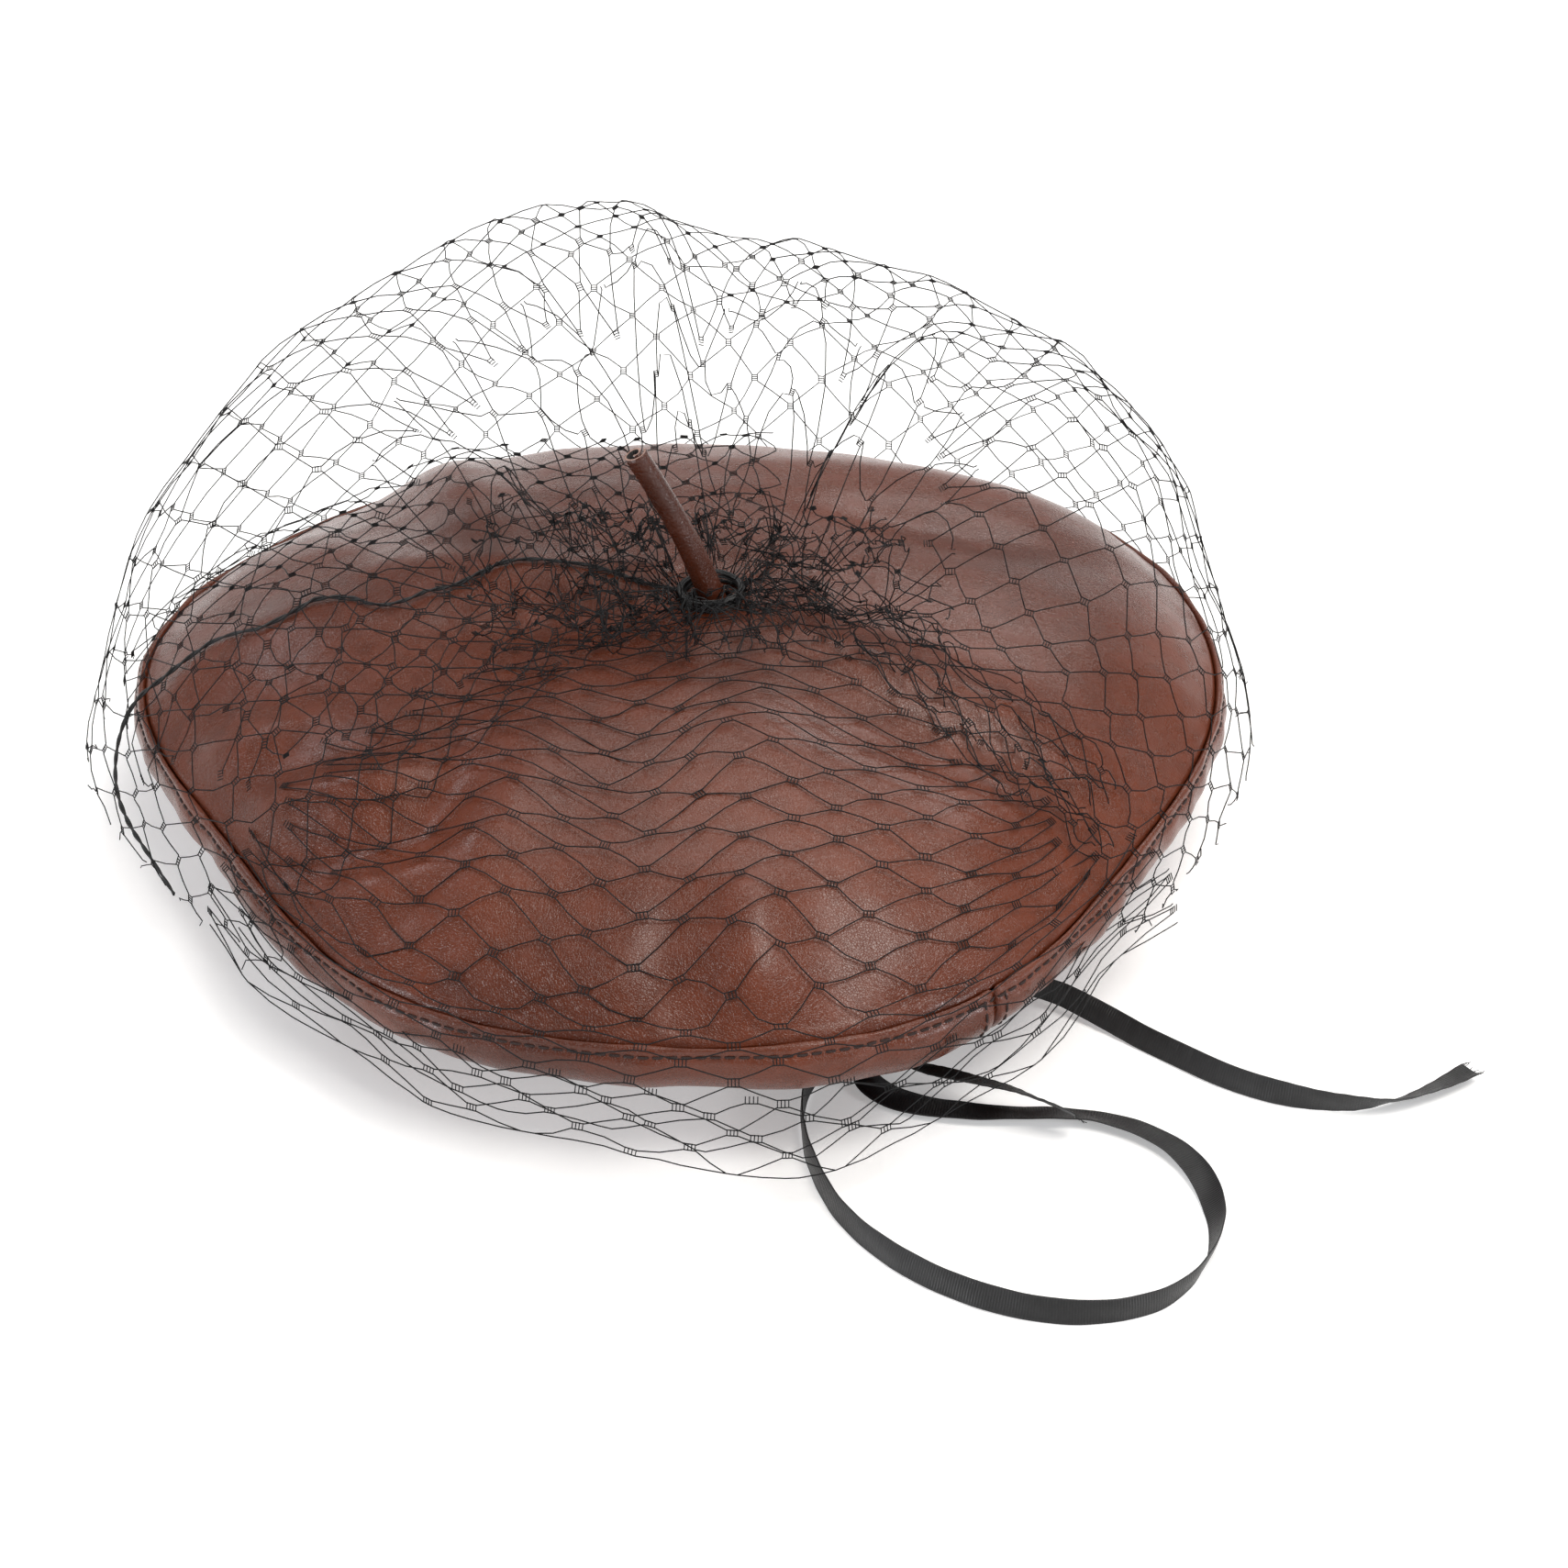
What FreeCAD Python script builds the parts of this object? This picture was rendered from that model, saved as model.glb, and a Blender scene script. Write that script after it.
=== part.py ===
"""Beret of soft faux leather with a rolled stem and a net veil gathered round it.

Frame, in millimetres: the origin is the centre of the head opening on the surface that the
beret lies on, +Z is up out of the crown, and -Y is the wearer's front of the veil.
"""
import FreeCAD, Part
import math
import os

from FreeCAD import Vector

os.makedirs("parts", exist_ok=True)

# ---- driving dimensions -------------------------------------------------------------------
HEAD_R = 89.5            # radius of the head opening, a 56 cm head
BAND_H = 27.0            # height of the headband, which stands on the table
LEATHER = 1.0            # thickness of the faux leather
LINING = 0.4             # thickness of the lining cloth
GAP = 0.2                # air between two layers of one body

SEAM_R = 135.0           # mean radius of the rim seam
SEAM_LOBES = ((1, 10.0, 132.0), (3, 6.8, 33.0), (5, 2.0, 22.0), (6, 1.5, -9.0))  # n, mm, degrees
SEAM_Z = 33.5            # height of the rim seam
RIM_OUT = 1.5            # how far the edge of the beret bulges outside its seam
CROWN_Z = 71.5           # height of the crown beside the stem

STEM_ROOT = Vector(0.0, 0.0, 71.0)
STEM_LEAN = 24.0         # degrees from upright, towards -X
STEM_L = 46.0
STEM_R0, STEM_R1 = 3.4, 2.5
STEM_HOLE_R = 5.2

BACK_SEAM = -59.0        # direction of the underside's back seam, where the ribbon comes out
VEIL_T = 0.8             # thickness of the solid that stands for the net
VEIL_OUT = 14.0          # how far the veil's skirt hangs outside the rim seam
VEIL_SWAY = 4.0          # more than that on the left and less on the right
VEIL_TOP = 136.0         # top of the pouf behind the stem
SIDE_DROP = 0.15         # share by which the pouf is lower at its two sides
APRON_LIFT = 4.0         # how far the apron lies above the crown
HEM_Z = 14.0             # height of the veil's cut edge, over the ribbon
LIFT_Y = -24.0           # the apron folds up about a line at this y
SPLIT_GAP = 0.5          # from that line to the edge of each half of the veil

RIBBON_D = 4.0           # solid that stands for the 6 mm ribbon where it lies free
THREAD_D = 1.2           # doubled gathering thread
TURN_STEP = 10           # degrees between two sections of a panel


# ---- shared geometry ----------------------------------------------------------------------
def polar(radius, degrees, z=0.0):
    a = math.radians(degrees)
    return Vector(radius * math.cos(a), radius * math.sin(a), z)


def seam_radius(degrees):
    """The rim seam seen from above: a circle with a few slow lobes."""
    return SEAM_R + sum(size * math.cos(math.radians(n * (degrees - at))) for n, size, at in SEAM_LOBES)


def offset_profile(profile, distance):
    """Moves each (r, z) point of a profile to its right-hand side by the distance."""
    moved = []
    last = len(profile) - 1
    for i, (r, z) in enumerate(profile):
        r0, z0 = profile[max(i - 1, 0)]
        r1, z1 = profile[min(i + 1, last)]
        dr, dz = r1 - r0, z1 - z0
        length = math.hypot(dr, dz)
        moved.append((r + distance * dz / length, z - distance * dr / length))
    return moved


def angles(start, end):
    count = max(2, round((end - start) / TURN_STEP))
    return [start + (end - start) * i / count for i in range(count + 1)]


def grid_surface(profile_at, offset, turns):
    surface = Part.BSplineSurface()
    surface.interpolate([[polar(r, a, z) for r, z in offset_profile(profile_at(a), offset)] for a in turns])
    return surface


def strip(curve_a, curve_b):
    """The narrow ruled face between two curves that run side by side."""
    start, other_start = curve_a.value(curve_a.FirstParameter), curve_b.value(curve_b.FirstParameter)
    face = Part.makeRuledSurface(curve_a.toShape(), curve_b.toShape())
    width = start.distanceToPoint(other_start)
    crossed = min(edge.Length for edge in face.Edges) > 2 * width
    if crossed:
        curve_b.reverse()
        face = Part.makeRuledSurface(curve_a.toShape(), curve_b.toShape())
    return face


def panel(profile_at, outer, inner, start=0.0, end=360.0):
    """A sheet between two offsets of one profile, turned from start to end about Z."""
    turns = angles(start, end)
    whole = end - start >= 360.0
    a = grid_surface(profile_at, outer, turns)
    b = grid_surface(profile_at, inner, turns)
    faces = [a.toShape(), b.toShape()]
    u0, u1, v0, v1 = a.bounds()
    s0, s1, t0, t1 = b.bounds()
    for v, t in ((v0, t0), (v1, t1)):
        faces.append(strip(a.vIso(v), b.vIso(t)))
    if not whole:
        for u, s in ((u0, s0), (u1, s1)):
            faces.append(strip(a.uIso(u), b.uIso(s)))
    shell = Part.Shell(faces)
    shell.sewShape()
    solid = Part.Solid(Part.Shell(shell.Faces))
    if solid.Volume < 0:
        solid.reverse()
    return solid


def ring(r_in, r_out, z0, z1):
    outer = Part.makeCylinder(r_out, z1 - z0, Vector(0, 0, z0))
    return outer.cut(Part.makeCylinder(r_in, z1 - z0, Vector(0, 0, z0)))


def tube_along(wire, radius):
    start = wire.Edges[0]
    first = start.FirstParameter
    circle = Part.Circle(start.valueAt(first), start.tangentAt(first), radius)
    return wire.makePipeShell([Part.Wire([circle.toShape()])], True, True)


def cord_path(points):
    """Straight runs joined by tangent arcs, each as large as its two runs allow."""
    edges = []
    radii = []
    here = points[0]
    for before, corner, after in zip(points, points[1:], points[2:]):
        run_in, run_out = (corner - before), (after - corner)
        half = run_in.getAngle(run_out) / 2
        radius = 0.45 * min(run_in.Length, run_out.Length) / math.tan(half)
        cut = radius * math.tan(half)
        a = corner - run_in.normalize() * cut
        b = corner + run_out.normalize() * cut
        inward = (a - corner) + (b - corner)
        middle = corner + inward.normalize() * (radius / math.cos(half) - radius)
        edges.append(Part.LineSegment(here, a).toShape())
        edges.append(Part.Arc(a, middle, b).toShape())
        radii.append(radius)
        here = b
    edges.append(Part.LineSegment(here, points[-1]).toShape())
    return Part.Wire(edges), radii


# ---- beret --------------------------------------------------------------------------------
def crown_profile(degrees):
    """From the stem hole out to the rim seam; the right-hand side is the inside."""
    seam = seam_radius(degrees)
    rise = CROWN_Z - SEAM_Z
    shape = ((0.20, 0.965), (0.42, 0.865), (0.62, 0.70), (0.80, 0.46), (0.92, 0.23), (1.0, 0.0))
    return [(STEM_HOLE_R, CROWN_Z)] + [(seam * t, SEAM_Z + rise * h) for t, h in shape]


def underside_profile(degrees):
    """From the rim seam round the edge and in to the headband; the right-hand side is inside."""
    seam = seam_radius(degrees)
    rim = seam + RIM_OUT
    inner = HEAD_R + 4.0
    edge = [(seam, SEAM_Z - LEATHER - GAP), (rim, 28.0), (rim - 1.0, 23.0)]
    slope = ((0.84, 18.5), (0.62, 17.0), (0.38, 18.5), (0.15, 23.0))
    return edge + [(inner + (rim - inner) * t, z) for t, z in slope] + [(inner, BAND_H + 0.6)]


def make_crown():
    crown = panel(crown_profile, 0.0, LEATHER)
    lining = panel(lambda a: crown_profile(a)[:-1], LEATHER + GAP, LEATHER + GAP + LINING)
    return {"crown_panel": crown, "crown_lining": lining}


def make_underside():
    slit = 0.15
    allowance = 1.6
    right = panel(underside_profile, 0.0, LEATHER, BACK_SEAM + slit, BACK_SEAM + 180 - slit)
    left = panel(underside_profile, 0.0, LEATHER, BACK_SEAM + 180 + slit, BACK_SEAM + 360 - slit)
    hidden = lambda a: underside_profile(a)[3:]
    seam_in = LEATHER + 6 * GAP
    lining_in = seam_in + allowance + 2 * GAP
    half_width = 2.5
    back = panel(hidden, seam_in, seam_in + allowance, BACK_SEAM - half_width, BACK_SEAM + half_width)
    front = panel(hidden, seam_in, seam_in + allowance, BACK_SEAM + 180 - half_width, BACK_SEAM + 180 + half_width)
    return {
        "underside_panel_right": right,
        "underside_panel_left": left,
        "side_seam_back": back,
        "side_seam_front": front,
        "underside_lining": panel(hidden, lining_in, lining_in + LINING),
    }


def make_rim_seam():
    """The turned-in edges inside the rim, and the thread that shows just below the seam."""
    fold_in, fold_t, fold_low, fold_high = 3.6, 1.7, 25.0, 31.0
    thread_out, thread_t, thread_z = 1.5, 0.5, 31.0
    fold = lambda a: [(seam_radius(a) - fold_in, z) for z in (fold_low, fold_high)]
    thread = lambda a: [(seam_radius(a) + thread_out, z) for z in (thread_z - thread_t, thread_z)]
    return {
        "rim_seam_allowance": panel(fold, 0.0, fold_t),
        "rim_topstitch": panel(thread, 0.0, thread_t),
    }


def make_headband():
    sweat_t, stiff_t, ribbon_t = 0.8, 0.5, 0.5
    sweat_out = HEAD_R + sweat_t
    stiff_in = sweat_out + GAP
    ribbon_in = stiff_in + stiff_t + GAP
    ribbon_out = ribbon_in + ribbon_t
    band_in = ribbon_out + GAP
    band_out = band_in + LEATHER
    run_z, run_h = 5.0, 6.0
    slot = Part.makeBox(LEATHER + 4.0, 9.0, run_h + 1.0, Vector(band_in - 2.0, -4.5, run_z - 0.5))
    knot = Part.makeBox(8.0, 12.0, 8.0, Vector(band_out + 0.6, -6.0, run_z - 1.0))
    knot = knot.makeFillet(2.4, knot.Edges)
    neck = Part.makeBox(3.0, 7.0, run_h - 1.0, Vector(ribbon_out + 0.1, -3.5, run_z + 0.5))
    knot = knot.fuse(neck)
    for solid in (slot, knot):
        solid.rotate(Vector(), Vector(0, 0, 1), BACK_SEAM)
    return {
        "sweatband": ring(HEAD_R, sweat_out, 0.0, BAND_H),
        "headband_interlining": ring(stiff_in, stiff_in + stiff_t, 2.0, BAND_H - 1.0),
        "ribbon_in_band": ring(ribbon_in, ribbon_out, run_z, run_z + run_h),
        "headband": ring(band_in, band_out, 0.0, BAND_H).cut(slot),
        "ribbon_knot": knot,
    }


def make_stem():
    taper = Part.makeCone(STEM_R0, STEM_R1, STEM_L)
    stem = taper.fuse(Part.makeSphere(STEM_R0)).removeSplitter()
    stem.rotate(Vector(), Vector(0, 1, 0), -STEM_LEAN)
    stem.translate(STEM_ROOT)
    patch_r, patch_t, patch_drop = 12.0, 1.0, 5.4
    anchor = Part.makeCylinder(patch_r, patch_t, STEM_ROOT - Vector(0, 0, patch_drop))
    return {"stem": stem, "stem_anchor": anchor}


# ---- veil ---------------------------------------------------------------------------------
def veil_radius(degrees):
    return seam_radius(degrees) + VEIL_OUT - VEIL_SWAY * math.cos(math.radians(degrees))


def apron_profile(degrees):
    """Net lying on the crown and hanging over its rim; the right-hand side is the inside."""
    lifted = [(r, z + APRON_LIFT) for r, z in crown_profile(degrees)[1:-1]]
    skirt = veil_radius(degrees)
    start = (14.0, CROWN_Z + APRON_LIFT)
    return [start] + lifted + [((skirt + lifted[-1][0]) / 2, 41.0), (skirt - 1.5, 31.0), (skirt, HEM_Z)]


def pouf_profile(degrees):
    """Net that stands up round the stem, bulges and comes down outside the rim."""
    skirt = veil_radius(degrees)
    low = 1.0 - SIDE_DROP * math.cos(math.radians(degrees)) ** 2
    rise = VEIL_TOP - HEM_Z
    shape = ((0.35, 0.86), (0.50, 0.96), (0.66, 1.0), (0.82, 0.92), (0.94, 0.72), (1.0, 0.40), (1.0, 0.15))
    well = (34.0, HEM_Z + rise * 0.66 * low)
    return [well] + [(skirt * t, HEM_Z + rise * h * low) for t, h in shape] + [(skirt - 1.0, HEM_Z)]


def make_veil():
    far, reach = 400.0, 800.0
    before = Part.makeBox(reach, far, far, Vector(-far, LIFT_Y - SPLIT_GAP - far, -far / 2))
    behind = Part.makeBox(reach, far, far, Vector(-far, LIFT_Y + SPLIT_GAP, -far / 2))
    apron = panel(apron_profile, 0.0, VEIL_T, 180.0, 360.0)
    pouf = panel(pouf_profile, 0.0, VEIL_T, -40.0, 220.0)
    bunch = ((9.4, 74.6), (17.5, 84.0), (22.0, 83.5), (25.5, 79.5), (24.0, 75.6), (14.0, 74.4))
    ruffle = Part.makePolygon([Vector(r, 0, z) for r, z in bunch + bunch[:1]])
    return {
        "veil_front": apron.common(before),
        "veil_back": pouf.common(behind),
        "veil_gather": Part.Face(ruffle).revolve(Vector(), Vector(0, 0, 1), 360),
        "gather_binding": Part.makeTorus(7.4, 0.7, Vector(0, 0, 73.0)),
    }


# ---- ribbon and thread --------------------------------------------------------------------
RIBBON_LOOP = (
    (46.0, -86.2, 8.0), (36.0, -91.5, 5.0), (26.0, -100.0, 2.6), (22.0, -114.0, 2.1), (23.0, -133.0, 2.1),
    (32.0, -158.0, 2.1), (54.0, -178.0, 2.1), (82.0, -188.0, 2.1), (106.0, -182.0, 2.1), (118.0, -159.0, 2.1),
    (113.0, -131.0, 2.1), (93.0, -117.0, 2.1), (66.0, -117.5, 2.1), (46.0, -114.0, 2.1), (37.0, -106.0, 2.3),
    (36.8, -98.0, 3.2), (42.0, -92.5, 4.6), (49.5, -88.5, 6.0),
)
RIBBON_TAIL_SHORT = (
    (56.0, -85.2, 7.5), (52.5, -93.0, 7.0), (45.0, -100.0, 6.6), (48.0, -108.5, 9.4), (62.0, -114.5, 10.2),
    (75.0, -119.5, 10.2), (86.0, -124.5, 7.5),
)
RIBBON_TAIL_LONG = (
    (55.0, -80.6, 8.0), (68.0, -75.5, 8.0), (82.0, -74.0, 6.0), (94.0, -81.0, 3.6), (108.0, -92.5, 2.1),
    (128.0, -108.5, 2.1), (151.0, -116.5, 2.1), (169.0, -111.0, 2.1), (182.0, -101.0, 2.1),
)
GATHER_THREAD = (
    (-8.6, 0.9, 73.0), (-19.0, 5.0, 72.6), (-36.0, 13.0, 72.2), (-56.0, 16.0, 70.2), (-68.0, 7.0, 68.8),
    (-81.0, 5.0, 65.8), (-93.0, 13.0, 62.6), (-110.0, 7.0, 56.8), (-127.0, 12.0, 50.0), (-140.0, 9.0, 43.6),
    (-149.0, 3.0, 37.6), (-152.6, -4.0, 30.0), (-152.6, -13.0, 22.5), (-148.0, -24.0, 19.0),
    (-141.0, -37.0, 19.0), (-133.0, -50.0, 16.0),
)


def make_cords():
    cords = {}
    routes = {
        "ribbon_loop": (RIBBON_LOOP, RIBBON_D),
        "ribbon_tail_short": (RIBBON_TAIL_SHORT, RIBBON_D),
        "ribbon_tail_long": (RIBBON_TAIL_LONG, RIBBON_D),
        "gather_thread": (GATHER_THREAD, THREAD_D),
    }
    for name, (points, diameter) in routes.items():
        wire, radii = cord_path([Vector(*p) for p in points])
        tube = tube_along(wire, diameter / 2)
        cords[name] = tube
        ideal = math.pi * diameter ** 2 / 4 * wire.Length
        print(name, "length %.0f mm" % wire.Length, "volume share %.3f" % (tube.Volume / ideal))
        print("  arc radii", " ".join("%.1f" % r for r in radii))
    return cords


def main():
    nodes = {}
    for make in (make_crown, make_underside, make_rim_seam, make_headband, make_stem, make_veil, make_cords):
        nodes.update(make())
    for name, shape in nodes.items():
        box = shape.BoundBox
        state = "valid" if shape.isValid() and shape.Volume > 0 else "NOT VALID"
        print("%-24s %s %6.2f cm3  z %.1f to %.1f" % (name, state, shape.Volume / 1000, box.ZMin, box.ZMax))
        shape.exportStep("parts/%s.step" % name)


main()
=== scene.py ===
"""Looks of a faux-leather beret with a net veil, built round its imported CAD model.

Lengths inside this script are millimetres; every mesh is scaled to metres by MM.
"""
import math

import bpy
import numpy as np
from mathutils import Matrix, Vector


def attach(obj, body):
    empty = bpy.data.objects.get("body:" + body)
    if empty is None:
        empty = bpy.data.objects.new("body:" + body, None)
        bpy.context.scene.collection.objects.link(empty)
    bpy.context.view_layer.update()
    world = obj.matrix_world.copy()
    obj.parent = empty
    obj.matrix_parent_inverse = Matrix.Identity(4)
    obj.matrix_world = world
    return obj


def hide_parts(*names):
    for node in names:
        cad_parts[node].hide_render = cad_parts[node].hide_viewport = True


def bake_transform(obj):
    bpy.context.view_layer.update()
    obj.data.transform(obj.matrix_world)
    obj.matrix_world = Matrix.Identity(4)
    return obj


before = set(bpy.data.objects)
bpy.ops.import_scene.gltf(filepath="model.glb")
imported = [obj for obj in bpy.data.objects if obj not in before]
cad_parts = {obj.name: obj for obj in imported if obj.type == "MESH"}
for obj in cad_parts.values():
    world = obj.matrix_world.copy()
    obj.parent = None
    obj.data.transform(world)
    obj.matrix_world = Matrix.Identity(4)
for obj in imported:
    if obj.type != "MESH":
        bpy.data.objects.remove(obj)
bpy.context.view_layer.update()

MM = 0.001
TINY = 1e-9
UP = np.array((0.0, 0.0, 1.0))

# ---- driving dimensions, millimetres and degrees --------------------------------------------
SEAM_R = 135.0
SEAM_LOBES = ((1, 10.0, 132.0), (3, 6.8, 33.0), (5, 2.0, 22.0), (6, 1.5, -9.0))
SEAM_Z = 33.5
CROWN_Z = 71.5
BAND_R = 93.4
BACK_SEAM = -59.0
STEM_HOLE_R = 4.6
STEM_ROOT = np.array((0.0, 0.0, 71.0))
STEM_LEAN = 24.0
STEM_L = 45.5

LEATHER_T = 0.95
LINING_T = 0.35
STEM_STRIP_T = 0.55
LINING_DROP = 1.35      # from the leather's face to the lining's

RIBBON_W, RIBBON_T = 6.0, 0.35
NET_D = 0.36            # the net's thread
LADDER_L = 2.9          # length of the double stretch at each crossing of the net
LADDER_W = 1.6          # and the space between its two threads

CAMERA_LENS, SENSOR = 85.0, 36.0
CAMERA_ELEVATION = 35.0
CAMERA_PLACE = (18.1, -785.6, 564.4)


# ---- helpers ---------------------------------------------------------------------------------
def smooth(x, low, high):
    t = np.clip((np.asarray(x, float) - low) / (high - low), 0.0, 1.0)
    return t * t * (3.0 - 2.0 * t)


def unit(vectors, least=0.0):
    """Vectors made one long; least keeps a zero vector from dividing by zero."""
    return vectors / (np.linalg.norm(vectors, axis=-1, keepdims=True) + least)


def on_circle(r, degrees):
    return r * np.cos(np.radians(degrees)), r * np.sin(np.radians(degrees))


def polar(r, degrees, z):
    return np.stack([*on_circle(r, degrees), z], -1)


def turn_from(degrees, at):
    """The angle from one direction to another, between -180 and 180."""
    return (degrees - at + 180.0) % 360.0 - 180.0


def new_object(name, mesh):
    piece = bpy.data.objects.new(name, mesh)
    bpy.context.scene.collection.objects.link(piece)
    return piece


def mesh_piece(name, points, faces, smooth_shade=True):
    """A mesh from an array of points in millimetres and an array of same-sided faces."""
    points = np.asarray(points, np.float32).reshape(-1, 3) * MM
    faces = np.asarray(faces, np.int32)
    sides = faces.shape[1]
    mesh = bpy.data.meshes.new(name)
    mesh.vertices.add(len(points))
    mesh.vertices.foreach_set("co", points.ravel())
    mesh.loops.add(faces.size)
    mesh.loops.foreach_set("vertex_index", faces.ravel())
    mesh.polygons.add(len(faces))
    mesh.polygons.foreach_set("loop_start", np.arange(0, faces.size, sides, dtype=np.int32))
    mesh.polygons.foreach_set("use_smooth", np.full(len(faces), smooth_shade))
    mesh.update(calc_edges=True)
    mesh.validate()
    return new_object(name, mesh)


def grid_faces(rows, columns, wrap=False, flip=False):
    """Quads of a grid of points stored row by row; wrap joins the last column to the first."""
    across = columns if wrap else columns - 1
    i, j = np.meshgrid(np.arange(rows - 1), np.arange(across), indexing="ij")
    a = i * columns + j
    b = i * columns + (j + 1) % columns
    quads = np.stack([a, b, b + columns, a + columns], -1).reshape(-1, 4)
    return quads[:, ::-1] if flip else quads


def waves(x, y, z, scale, seed=0.0):
    """A quick smooth irregular field from -1 to 1: six plane waves in fixed directions."""
    total = 0.0
    for k in range(6):
        a, b = 2.4 * k + seed, 1.7 * k + 2.0 * seed
        way = (math.cos(a) * math.cos(b), math.sin(a) * math.cos(b), math.sin(b))
        size = (0.7 + 0.17 * k) * 2.0 * math.pi / scale
        total = total + np.sin((way[0] * x + way[1] * y + way[2] * z) * size + 5.1 * k + 3.0 * seed)
    return total / 4.0


def tubes(paths, radius, sides=3):
    """Open-ended tubes round many paths of the same number of points: (points, faces)."""
    paths = np.asarray(paths, float)
    count, length, _ = paths.shape
    along = unit(np.gradient(paths, axis=1), TINY)
    guide = np.array((0.31, -0.52, 0.80))       # a direction that few threads run in
    side = unit(np.cross(along, guide), TINY)
    other = np.cross(along, side)
    turn = 2.0 * np.pi * np.arange(sides) / sides
    ring = np.cos(turn)[:, None] * side[:, :, None, :] + np.sin(turn)[:, None] * other[:, :, None, :]
    points = paths[:, :, None, :] + ring * radius
    faces = grid_faces(length, sides, wrap=True)
    step = length * sides
    faces = (faces[None] + (np.arange(count) * step)[:, None, None]).reshape(-1, 4)
    return points.reshape(-1, 3), faces


def joined(parts):
    """Several (points, faces) as one."""
    points, faces, start = [], [], 0
    for p, f in parts:
        points.append(p)
        faces.append(f + start)
        start += len(p)
    return np.concatenate(points), np.concatenate(faces)


# ---- the beret's shape -----------------------------------------------------------------------
def seam_radius(degrees):
    return SEAM_R + sum(size * np.cos(np.radians(n * (degrees - at))) for n, size, at in SEAM_LOBES)


def ridge(x, y, route, width, height):
    """A long soft fold along a route of (x, y) points: its height at each place."""
    best = np.zeros(np.shape(x))
    lengths = [math.dist(a, b) for a, b in zip(route, route[1:])]
    done = 0.0
    for (x0, y0), (x1, y1), length in zip(route, route[1:], lengths):
        t = np.clip(((x - x0) * (x1 - x0) + (y - y0) * (y1 - y0)) / length ** 2, 0.0, 1.0)
        away = np.hypot(x - x0 - t * (x1 - x0), y - y0 - t * (y1 - y0)) / width
        place = (done + t * length) / sum(lengths)
        taper = np.sin(np.pi * np.clip(0.08 + 0.84 * place, 0.0, 1.0)) ** 0.6
        best = np.maximum(best, np.exp(-away ** 2) * taper)
        done += length
    return height * best


FOLDS = (
    # route, width, height: long folds that the soft crown has fallen into
    (((4, -12), (35, -23), (62, -31), (98, -37)), 10.0, 3.2),
    (((24, -38), (60, -50), (100, -54)), 14.0, -2.8),
    (((-6, 9), (-36, 11), (-66, 17), (-80, 28)), 11.0, 3.4),
    (((-12, -6), (-40, -5), (-72, 0)), 13.0, -2.6),
    (((-58, 30), (-66, 62), (-80, 116)), 12.0, 3.6),
    (((-80, 40), (-90, 72), (-104, 104)), 14.0, -3.0),
    (((-84, 4), (-104, 10), (-130, 8)), 14.0, 2.6),
    (((26, 52), (56, 46), (92, 44)), 12.0, -2.8),
    (((20, 84), (60, 80), (100, 78)), 18.0, 2.4),
    (((-66, -58), (-90, -58), (-116, -50)), 7.0, 3.5),
    (((-70, -72), (-90, -74), (-108, -70)), 7.5, -3.2),
    (((-58, -84), (-78, -88), (-94, -90)), 6.5, 2.5),
    (((-62, -42), (-66, -74), (-70, -106)), 11.0, -3.4),
    (((-46, -60), (-52, -84), (-58, -112)), 11.0, 2.5),
    (((-100, -30), (-118, -30), (-132, -26)), 8.0, 2.0),
    (((11, -98), (11, -112), (12, -128)), 9.0, 3.2),
    (((-8, -104), (-10, -116), (-11, -128)), 6.0, -0.8),
    (((30, -102), (32, -114), (34, -126)), 7.5, -1.2),
    (((60, -80), (70, -90), (80, -100)), 9.0, 1.5),
)


def crown_height(x, y):
    """The crown's outer surface over each (x, y), folds and all."""
    x, y = np.asarray(x, float), np.asarray(y, float)
    t = np.hypot(x, y) / seam_radius(np.degrees(np.arctan2(y, x)))
    t = np.clip(t, 0.0, 1.0)
    base = SEAM_Z + (CROWN_Z - SEAM_Z) * (1.0 - 0.70 * t ** 2 - 0.30 * t ** 8)
    folds = 1.25 * sum(ridge(x, y, *fold) for fold in FOLDS)
    folds = folds + 1.1 * waves(x, y, 0.0 * x, 95.0, 1.3) + 0.35 * waves(x, y, 0.0 * x, 31.0, 2.1)
    near_rim = smooth(t, 1.0, 0.93)
    near_stem = smooth(np.hypot(x, y), 6.0, 16.0)
    return base + folds * near_rim * near_stem


def puckers(degrees, seed=0.0):
    """Short gathers along a sewn edge, from -1 to 1."""
    a = np.radians(degrees)
    return (np.sin(37 * a + seed) + np.sin(53 * a + 2.0 * seed) + np.sin(71 * a + 0.7)) / 3.0


def shell(piece, thickness, backed=False):
    """Gives a sheet its thickness, inwards; a backed one has its own material behind and at its edge."""
    solid = piece.modifiers.new("thickness", "SOLIDIFY")
    solid.thickness, solid.offset = thickness * MM, -1.0
    if backed:
        solid.material_offset, solid.material_offset_rim = 1, 2


PULLS_AT = -135.0              # the front left


def pulls(degrees):
    """Broader pulls in the leather beside a sewn edge, strongest at the front left."""
    a = np.radians(degrees)
    wave = (np.sin(17 * a + 0.4) + 0.8 * np.sin(26 * a + 2.2) + 0.5 * np.sin(9 * a + 1.0)) / 2.0
    wave = np.sign(wave) * np.abs(wave) ** 1.25
    return wave * (0.40 + 0.60 * np.cos(0.5 * np.radians(turn_from(degrees, PULLS_AT))) ** 4)


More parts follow.
